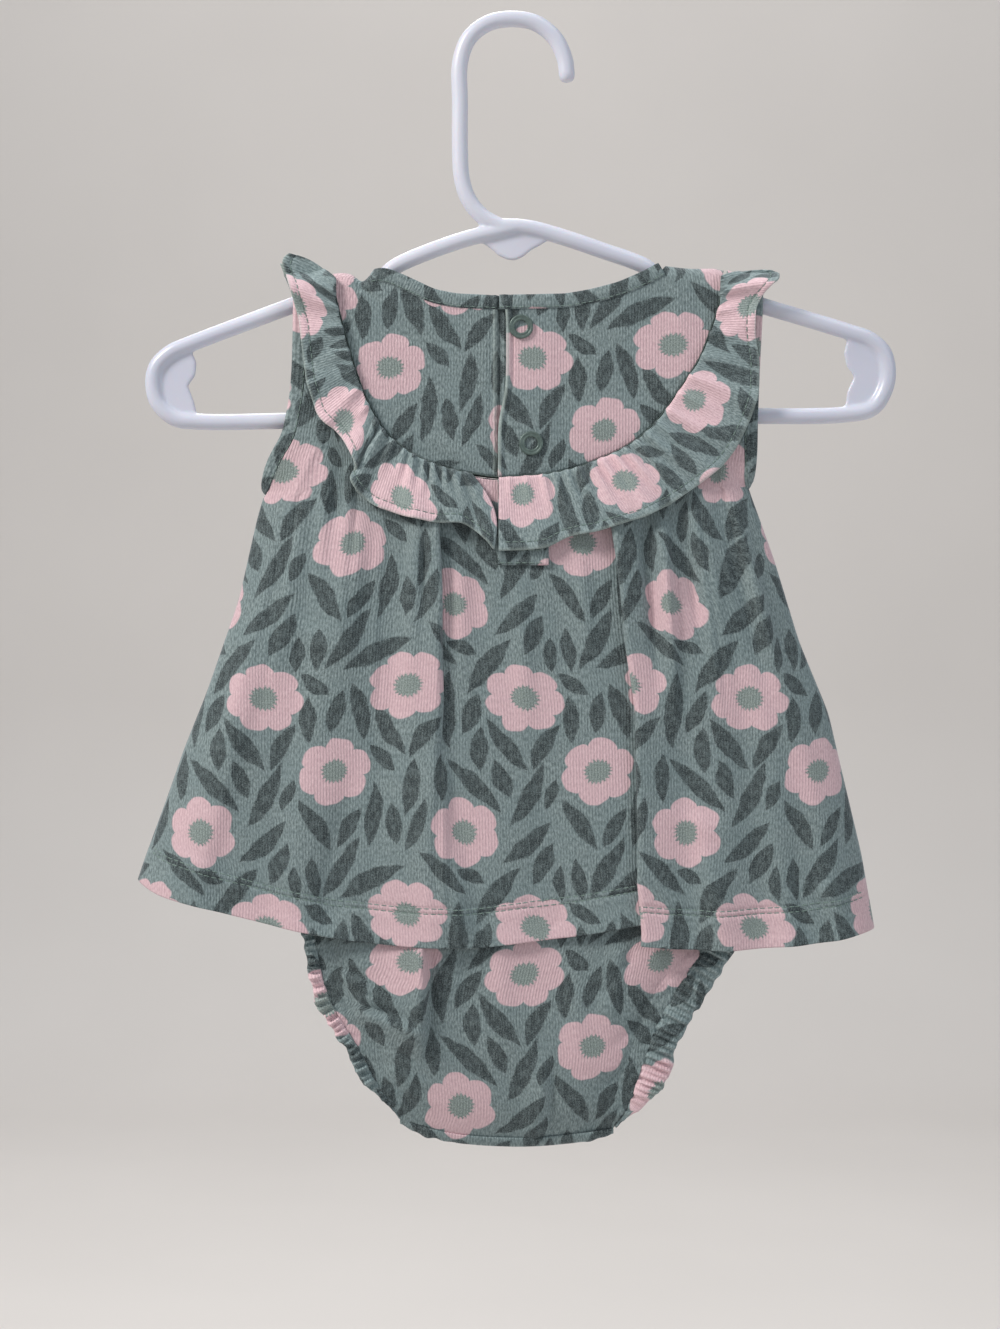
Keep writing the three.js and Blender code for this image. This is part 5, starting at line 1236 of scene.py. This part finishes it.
# ---- ruffles ----
def ruffle(name, node, seam, f0, f1, outer, side, flutes, gathers, leans, off, flat, nu=240, nv=34, bow=0.0, crown=None):
    """From the seam to the free edge. flutes: (place along, height, width) of the edge's waves;
    gathers: (place, length, height, width) of the small folds at the seam; leans: (place, shift, width)."""
    u = np.linspace(0, 1, nu)
    Sx, Sz = seam(lerp(f0, f1, u))
    tx, tz = seam.tangent(lerp(f0, f1, u), 0.02)
    sgn = 1 if f1 > f0 else -1
    E = Line(outer, 1.6)
    Ex, Ez = E(u)
    v = np.linspace(0, 1, nv)[None, :]
    v = v ** 0.9
    nx, nz = (Ex - Sx), (Ez - Sz)
    ln = np.hypot(nx, nz)
    Sx, Sz = Sx + nx / ln * 0.35, Sz + nz / ln * 0.35
    x = lerp(Sx[:, None], Ex[:, None], v)
    z = lerp(Sz[:, None], Ez[:, None], v)
    if bow:
        x = x + bow * np.sin(math.pi * v) * np.exp(-u / 0.05)[:, None]
    for c, shift, wd in leans:
        g = shift * (v**1.4) * np.exp(-(((u - c) / wd) ** 2))[:, None]
        x = x + g * tx[:, None] * sgn
        z = z + g * tz[:, None] * sgn
    if crown is not None:
        x0, z0 = crown[2], crown[3]
        g = np.sin(math.pi * v) * np.exp(-(1 - u) / 0.035)[:, None]
        x = x + x0 * g
        z = z + z0 * g
        tuck = soft((u - 0.9) / 0.1)[:, None] * (1 - v) ** 2
        x = x + tuck * 1.6 * np.sign(Sx[-1] * -1)
    cx = clamp(x, -78, 90)
    top = top_of(cx, RUFFLE_OUT)
    y = np.where(z > top - 0.05, 0.5, stand(cx, np.minimum(z, top - 0.02), RUFFLE_OUT, "ruffle"))
    y = np.maximum(0.5, y)
    if side < 0:
        rx = np.array([-52, -44, -36, -23, -14, 24, 32, 48, 58, 66.0])
        ry = np.array([0, 1.2, 2.8, 2.8, 1.3, 1.3, 2.8, 2.8, 1.2, 0])
        y = y + gauss_interp(x, rx, ry) * (0.35 + 0.65 * v)
    w = np.zeros_like(x)
    for c, h, wd in flutes:
        spread = wd * (0.55 + 0.45 * v)
        w += h * np.exp(-(((u[:, None] - c) / spread) ** 2)) * v**1.25
    for c, long_, h, wd in gathers:
        spread = wd * (0.7 + 1.5 * v)
        w += 1.45 * h * np.exp(-(((u[:, None] - c - 0.006 * v) / spread) ** 2)) * soft((long_ - v) / long_ + 0.25) * soft(v / 0.06 + 0.35)
    # no folds where the strip runs out at the shoulders
    w = w * soft((1 - u) / 0.05)[:, None]
    if side > 0:
        w = w * soft(u / 0.05)[:, None]
    y = y + w
    if crown is not None:
        c0, rise = crown[:2]
        y = lerp(y, np.maximum(y, 0.6 + rise * v), soft((u - c0) / (1 - c0))[:, None])
    # the free edge is turned under: a soft ridge with its stitching pressed in
    dist = (1 - v) * ln[:, None]
    y = y - 0.32 * np.exp(-(((dist - 3.4) / 0.6) ** 2)) + 0.22 * np.exp(-(((dist - 1.6) / 1.2) ** 2))
    P = np.stack([x, side * y, z], 2)
    s = np.concatenate([[0], np.cumsum(np.linalg.norm(np.diff(P[:, -1], axis=0), axis=1))])
    U = np.repeat(s[:, None], nv, 1) * (-1 if sgn < 0 else 1)
    V = -v * ln[:, None]
    # the strip's grain turns with the seam, as on the cloth it was cut from
    # the free edge gets the pale rim (wrong side showing, partly painted highlight), and the cloth is the copy of the
    # cotton painted lighter, as painted light
    ob, n = wall(name, P, U + off[0], V + off[1], side, t=0.95, pale=0.7, material=COTTON_PAINTED_LIGHTER)
    line = iso(P, n, 3.3, side, 0.6)
    st = stitches(name.replace("cloth", "stitches"), [line[3:-3]], THREAD, radius=0.19)
    declare(node)
    return P


def gauss_interp(x, rx, ry):
    g = np.linspace(-110, 110, 441)
    return np.interp(x, g, gauss(np.interp(g, rx, ry), 6))


LEFT_OUTER = [(-7.2, -204.2), (-12, -198.6), (-19.1, -193.8), (-29.2, -194.2), (-40.2, -192.0), (-53.4, -187.4), (-59.7, -182.4),
              (-62.8, -177.0), (-61.4, -169.4), (-64.4, -163), (-69.8, -158.6), (-75.3, -152.4), (-79.6, -139), (-81.0, -128),
              (-82.2, -116.2), (-84.8, -106.5), (-86.8, -99.6), (-89.4, -94.0), (-89.6, -90.2), (-86.8, -88.6)]
RIGHT_OUTER = [(-5.2, -204.8), (4, -204.6), (13.3, -203.8), (21.4, -199.4), (33.5, -197.2), (42.5, -194.4), (51.9, -191.5),
               (60.8, -187), (70.2, -180.6), (81.1, -172.2), (86.6, -165), (92, -154.1), (95.2, -144), (95.6, -132.2),
               (93.8, -120), (94.0, -111), (97.6, -104.4), (103.2, -99.6), (104.4, -96.6), (101.0, -95.2)]
FRONT_OUTER = [(-90.6, -92), (-85.4, -106), (-82.4, -116.2), (-81, -132), (-76, -152), (-66, -168), (-52, -181), (-34, -191),
               (-14, -197), (6, -199), (26, -196), (44, -190), (62, -180), (78, -165), (90, -150), (94.6, -134), (93, -116),
               (94, -105), (102, -96.4)]
LEFT_FLUTES = [(0.02, 3.0, 0.03), (0.12, 1.6, 0.03), (0.21, 2.4, 0.035), (0.3, 1.2, 0.03), (0.38, 3.4, 0.035), (0.465, 5.2, 0.03),
               (0.56, 2.2, 0.035), (0.66, 1.4, 0.04), (0.78, 2.8, 0.045), (0.9, 3.6, 0.04), (0.985, 2.4, 0.03)]
RIGHT_FLUTES = [(0.0, 1.6, 0.03), (0.1, 0.8, 0.03), (0.19, 2.6, 0.026), (0.27, 2.2, 0.026), (0.345, 3.0, 0.026), (0.42, 2.6, 0.026),
                (0.5, 2.8, 0.03), (0.59, 1.6, 0.035), (0.68, 2.4, 0.035), (0.77, 1.2, 0.035), (0.86, 3.0, 0.04), (0.96, 4.2, 0.035)]
LEFT_GATHERS = [(0.03, 0.6, 1.0, 0.010), (0.075, 0.8, 1.3, 0.011), (0.115, 0.5, 0.9, 0.009), (0.155, 0.9, 1.4, 0.011),
                (0.19, 0.6, 1.0, 0.009), (0.235, 0.9, 1.3, 0.012), (0.275, 0.55, 0.8, 0.010), (0.33, 0.7, 1.0, 0.012),
                (0.385, 0.9, 1.5, 0.013), (0.43, 0.9, 1.6, 0.012), (0.5, 0.5, 0.7, 0.012), (0.57, 0.6, 0.8, 0.014),
                (0.64, 0.5, 0.6, 0.014), (0.71, 0.7, 0.8, 0.016), (0.8, 0.6, 0.8, 0.016), (0.88, 0.7, 1.0, 0.014),
                (0.94, 0.9, 1.1, 0.012)]
RIGHT_GATHERS = [(0.03, 0.4, 0.5, 0.010), (0.08, 0.5, 0.6, 0.011), (0.13, 0.7, 0.9, 0.010), (0.165, 0.9, 1.3, 0.009),
                 (0.2, 0.7, 1.2, 0.009), (0.235, 0.9, 1.5, 0.010), (0.275, 0.75, 1.2, 0.009), (0.31, 0.95, 1.6, 0.010),
                 (0.35, 0.7, 1.2, 0.009), (0.385, 0.95, 1.5, 0.010), (0.425, 0.8, 1.3, 0.010), (0.465, 0.95, 1.5, 0.010),
                 (0.51, 0.7, 1.1, 0.011), (0.56, 0.9, 1.2, 0.012), (0.62, 0.6, 0.9, 0.013), (0.68, 0.8, 1.0, 0.014),
                 (0.75, 0.6, 0.7, 0.014), (0.82, 0.8, 0.9, 0.014), (0.89, 0.7, 1.0, 0.013), (0.95, 0.9, 1.2, 0.011)]


def ruffles():
    fl = SEAM_B.where_x(-15.5)
    ruffle("back_ruffle_left_cloth", "back_ruffle_left", SEAM_B, fl, 0.008, LEFT_OUTER, -1, LEFT_FLUTES, LEFT_GATHERS,
           [(0.45, -3.2, 0.03), (0.52, 2.6, 0.03), (0.2, 0.8, 0.03)], (72.0, 78.0), (190, 28), bow=4.5, crown=(0.9, 1.5, 0.2, 2.2))
    fr = SEAM_B.where_x(-5.2)
    ruffle("back_ruffle_right_cloth", "back_ruffle_right", SEAM_B, fr, 0.992, RIGHT_OUTER, -1, RIGHT_FLUTES, RIGHT_GATHERS,
           [(0.3, 0.8, 0.03), (0.4, -0.8, 0.03)], (72.6, 72.3), (210, 32), crown=(0.9, 1.5, 0.0, 1.4))
    fg = [((1 - c) * 0.5, a, b, w * 0.5) for c, a, b, w in LEFT_GATHERS] + [(0.5 + c * 0.5, a, b, w * 0.5) for c, a, b, w in RIGHT_GATHERS]
    ff = [((1 - c) * 0.5, h, w * 0.5) for c, h, w in LEFT_FLUTES] + [(0.5 + c * 0.5, h, w * 0.5) for c, h, w in RIGHT_FLUTES[1:]]
    ruffle("front_ruffle_cloth", "front_ruffle", SEAM_F, 0.008, 0.992, FRONT_OUTER, 1, ff, fg, [], (33.0, 61.0), (400, 30), nu=400)


# ---- snaps ----
def lathe(name, cx, cz, profile, material, node=None, seg=56):
    y0 = float(stand(cx, cz, YOKE_OUT + 0.72, "yoke")) + 0.5
    a = np.arange(seg) * 2 * math.pi / seg
    V, F = [], []
    for r, h in profile:
        V.append(np.stack([cx + r * np.cos(a), np.full(seg, -(y0 + h)), cz + r * np.sin(a)], 1))
    V = np.concatenate(V)
    n = len(profile)
    for i in range(n):
        j = (i + 1) % n
        for s in range(seg):
            t = (s + 1) % seg
            F.append((i * seg + s, i * seg + t, j * seg + t, j * seg + s))
    ob = make(name, V, F, material)
    if node:
        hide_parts(node)
    return ob, y0


def snaps():
    for label, cx, cz in (("upper", 3.5, -117.8), ("lower", 7.4, -163.0)):
        ring = [(2.55, 0.0), (2.45, 0.5), (2.6, 0.85), (2.95, 1.0), (3.25, 0.86), (3.5, 0.8), (3.75, 0.92), (4.15, 1.12), (4.5, 1.0),
                (4.68, 0.6), (4.7, 0.15), (4.6, -0.1)]
        lathe("snap_ring_" + label, cx, cz, ring, RING, "snap_" + label)


# ---- hanger: one moulding, its joints softened ----
def catmull(points, per):
    p = np.array([(x, 0.0, z) for x, z in points], float)
    s = np.concatenate([[0], np.cumsum(np.sqrt(np.linalg.norm(np.diff(p, axis=0), axis=1)))])
    out = []
    q = np.concatenate([2 * p[:1] - p[1:2], p, 2 * p[-1:] - p[-2:-1]])
    k = np.concatenate([[s[0] - (s[1] - s[0])], s, [2 * s[-1] - s[-2]]])
    for i in range(1, len(q) - 2):
        t = np.linspace(k[i], k[i + 1], per, endpoint=False)[:, None]
        a1 = (k[i] - t) / (k[i] - k[i - 1]) * q[i - 1] + (t - k[i - 1]) / (k[i] - k[i - 1]) * q[i]
        a2 = (k[i + 1] - t) / (k[i + 1] - k[i]) * q[i] + (t - k[i]) / (k[i + 1] - k[i]) * q[i + 1]
        a3 = (k[i + 2] - t) / (k[i + 2] - k[i + 1]) * q[i + 1] + (t - k[i + 1]) / (k[i + 2] - k[i + 1]) * q[i + 2]
        b1 = (k[i + 1] - t) / (k[i + 1] - k[i - 1]) * a1 + (t - k[i - 1]) / (k[i + 1] - k[i - 1]) * a2
        b2 = (k[i + 2] - t) / (k[i + 2] - k[i]) * a2 + (t - k[i]) / (k[i + 2] - k[i]) * a3
        out.append((k[i + 1] - t) / (k[i + 1] - k[i]) * b1 + (t - k[i]) / (k[i + 1] - k[i]) * b2)
    out.append(p[-1:])
    return np.concatenate(out)


def hanger():
    V, F, base = [], [], 0
    for pts in (HOOK, ARM_LEFT, ARM_RIGHT):
        c = catmull(pts, 8)
        if pts is HOOK:
            # rounded tip
            c = np.concatenate([c[:1] + (c[:1] - c[1:2]) / np.linalg.norm(c[0] - c[1]) * np.array([[2.9], [2.5], [1.6]]), c])
            rad = np.concatenate([[1.1, 2.0, 2.85], np.full(len(c) - 3, TUBE_R)])
        else:
            rad = np.full(len(c), TUBE_R)
        v, f = tube_mesh(c, rad, 24)
        V.append(v)
        F += [tuple(dict.fromkeys(i + base for i in face)) for face in f]
        base += len(v)
    for pts in WEBS:
        p = np.array(pts, float)
        n = len(p)
        for yy in (-0.95, 0.95):
            V.append(np.stack([p[:, 0], np.full(n, yy), p[:, 1]], 1))
        for i in range(n):
            j = (i + 1) % n
            F.append((base + i, base + j, base + n + j, base + n + i))
        F.append(tuple(range(base, base + n))[::-1])
        F.append(tuple(range(base + n, base + 2 * n)))
        base += 2 * n
    me = bpy.data.meshes.new("hanger_moulding")
    me.from_pydata((np.concatenate(V) * MM).tolist(), [], F)
    me.update()
    ob = bpy.data.objects.new("hanger_moulding", me)
    bpy.context.scene.collection.objects.link(ob)
    r = ob.modifiers.new("join", "REMESH")
    r.mode, r.voxel_size, r.use_smooth_shade = "VOXEL", 0.0006, True
    s = ob.modifiers.new("soften", "SMOOTH")
    s.factor, s.iterations = 0.5, 5
    dg = bpy.context.evaluated_depsgraph_get()
    new = bpy.data.meshes.new_from_object(ob.evaluated_get(dg))
    ob.modifiers.clear()
    ob.data = new
    new.name = "hanger_moulding"
    new.materials.clear()
    new.materials.append(PLASTIC)
    new.polygons.foreach_set("use_smooth", np.full(len(new.polygons), True))
    new.update()
    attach(ob, "root")
    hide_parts("hanger")
    return ob


# ---- build ----
hanger()
skirt(-1)
skirt(1)
body(-1)
body(1)
YL, YR = yokes()
ruffles()
inner = np.linspace(0, 0.972, 92)
nl, nr = NECK_B.where_x(-4.2), NECK_B.where_x(PLACKET_LEFT + 0.6)
q1 = neck_binding("neck_binding_left_cloth", "neck_binding_back_left", NECK_B, lerp(nl, 0, inner)[::-1], -1, lap_left, (24.0, 12.0), (64, 14))
q2 = neck_binding("neck_binding_right_cloth", "neck_binding_back_right", NECK_B, lerp(nr, 1, inner), -1, lap_right, (44.0, 44.0), (74, 14), True)
q3 = neck_binding("neck_binding_front_cloth", "neck_binding_front", NECK_F, np.linspace(0.022, 0.978, 160), 1, None, (70.0, 50.0), (165, 14))
stitches("neck_binding_stitches", [q1, q2, q3], THREAD, length=1.9, gap=0.8, radius=0.15)
arm_lines = []
for k, node, name, off in ((0, "armhole_binding_left", "armhole_binding_left_cloth", (12.0, 20.0)),
                           (1, "armhole_binding_right", "armhole_binding_right_cloth", (60.0, 64.0))):
    line, N = arm_binding(k, node, name, off)
    arm_lines.append(line + np.array([0, 1, 0]) * np.sign(line[:, 1:2]) * 1.22)
stitches("armhole_binding_stitches", [l[i : i + 70] for l in arm_lines for i in (3, len(l) // 2 + 8)], THREAD, radius=0.17)
leg_band(0, "leg_band_left", "leg_band_left_cloth", (8.0, 33.0))
leg_band(1, "leg_band_right", "leg_band_right_cloth", (47.0, 18.0))
crotch_band()
placket_box()
snaps()


# ---- a dark cord along the seam between yoke and ruffle: a painted shadow line where the seam lies in shade ----
def seam_shadow_line():
    lines = []
    for seam, side, lo, hi in ((SEAM_B, -1, 0.02, 0.98), (SEAM_F, 1, 0.02, 0.98)):
        f = np.linspace(lo, hi, 220)
        x, z = seam(f)
        y = stand(x, np.minimum(z, top_of(x, YOKE_OUT) - 0.4), YOKE_OUT, "yoke") + 0.55
        if side < 0:
            y = y + 0.72 * clamp((20 - x) / 6, 0, 1) * (x > -5)
        lines.append(np.stack([x, side * y, z], 1))
    V, F, base = [], [], 0
    for l in lines:
        v, f = tube_mesh(l, 0.3, 6)
        V.append(v)
        F += [tuple(dict.fromkeys(i + base for i in face)) for face in f]
        base += len(v)
    me = bpy.data.meshes.new("yoke_seam_painted_shadow")
    me.from_pydata((np.concatenate(V) * MM).tolist(), [], F)
    me.polygons.foreach_set("use_smooth", np.full(len(me.polygons), True))
    # the dark material paints the shadow at the seam
    me.materials.append(SEAM_SHADOW_PAINT)
    me.update()
    ob = bpy.data.objects.new("yoke_seam_painted_shadow", me)
    bpy.context.scene.collection.objects.link(ob)
    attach(ob, "root")


seam_shadow_line()


# ---- stage, lights and camera ----
def stage():
    prof = [(-3.5, -0.9)] + [(2.4, -0.9)]
    a = np.linspace(0, math.pi / 2, 14)
    prof += [(2.4 + 0.6 * math.sin(t), -0.3 - 0.6 * math.cos(t)) for t in a[1:]]
    prof += [(3.0, 3.4)]
    V, F = [], []
    for y, z in prof:
        V += [(-5.5, y, z), (5.5, y, z)]
    for i in range(len(prof) - 1):
        F.append((2 * i, 2 * i + 1, 2 * i + 3, 2 * i + 2))
    me = bpy.data.meshes.new("studio_floor")
    me.from_pydata(V, [], F)
    me.polygons.foreach_set("use_smooth", np.full(len(me.polygons), True))
    mat = bpy.data.materials.new("pale_floor")
    mat.use_nodes = True
    t = Nodes(mat)
    co = t.new("ShaderNodeTexCoord").outputs["Object"]
    n = t.noise(co, 3.0, 2.0)
    shader(mat, t, t.mix(n, srgb("#d9d4d0"), srgb("#e0dbd7")), Roughness=0.9)
    me.materials.append(mat)
    me.update()
    ob = bpy.data.objects.new("studio_floor", me)
    bpy.context.scene.collection.objects.link(ob)


def light(name, kind, loc, target, energy, size, colour):
    d = bpy.data.lights.new(name, kind)
    d.energy, d.color = energy, colour
    if kind == "AREA":
        d.shape, d.size = "DISK", size
    ob = bpy.data.objects.new(name, d)
    bpy.context.scene.collection.objects.link(ob)
    v = np.array(target) - np.array(loc)
    from mathutils import Vector
    ob.location = loc
    ob.rotation_euler = Vector(v.tolist()).to_track_quat("-Z", "Y").to_euler()
    return ob


stage()
light("key", "AREA", (-1.15, -0.75, 0.85), (0, 0, -0.24), 26.0, 0.5, (1.0, 0.975, 0.94))
light("fill", "AREA", (1.6, -1.2, 0.0), (0, 0, -0.25), 6.0, 1.0, (0.86, 0.93, 1.0))
light("top", "AREA", (0.5, -0.35, 1.2), (0, 0, -0.2), 5.0, 0.9, (0.95, 0.98, 1.0))
light("rear", "AREA", (-0.4, 1.6, 1.6), (0, 0, -0.2), 20.0, 1.2, (1.0, 1.0, 1.0))
light("backdrop", "AREA", (0.0, 1.2, 2.2), (0, 3.0, -0.1), 25.0, 1.6, (1.0, 0.98, 0.96))
world = bpy.data.worlds.new("soft_world")
world.use_nodes = True
bg = world.node_tree.nodes["Background"]
bg.inputs[0].default_value = (0.80, 0.86, 0.92, 1.0)
bg.inputs[1].default_value = 0.38
bpy.context.scene.world = world
bpy.context.scene.view_settings.view_transform = "Standard"

cam = bpy.data.cameras.new("camera")
cam.lens = 62.5
cam.clip_start, cam.clip_end = 0.02, 20.0
camera = bpy.data.objects.new("camera", cam)
bpy.context.scene.collection.objects.link(camera)
camera.location = (-0.0047, -0.9, -0.2486)
camera.rotation_euler = (math.pi / 2, 0.0, 0.0)
bpy.context.scene.camera = camera
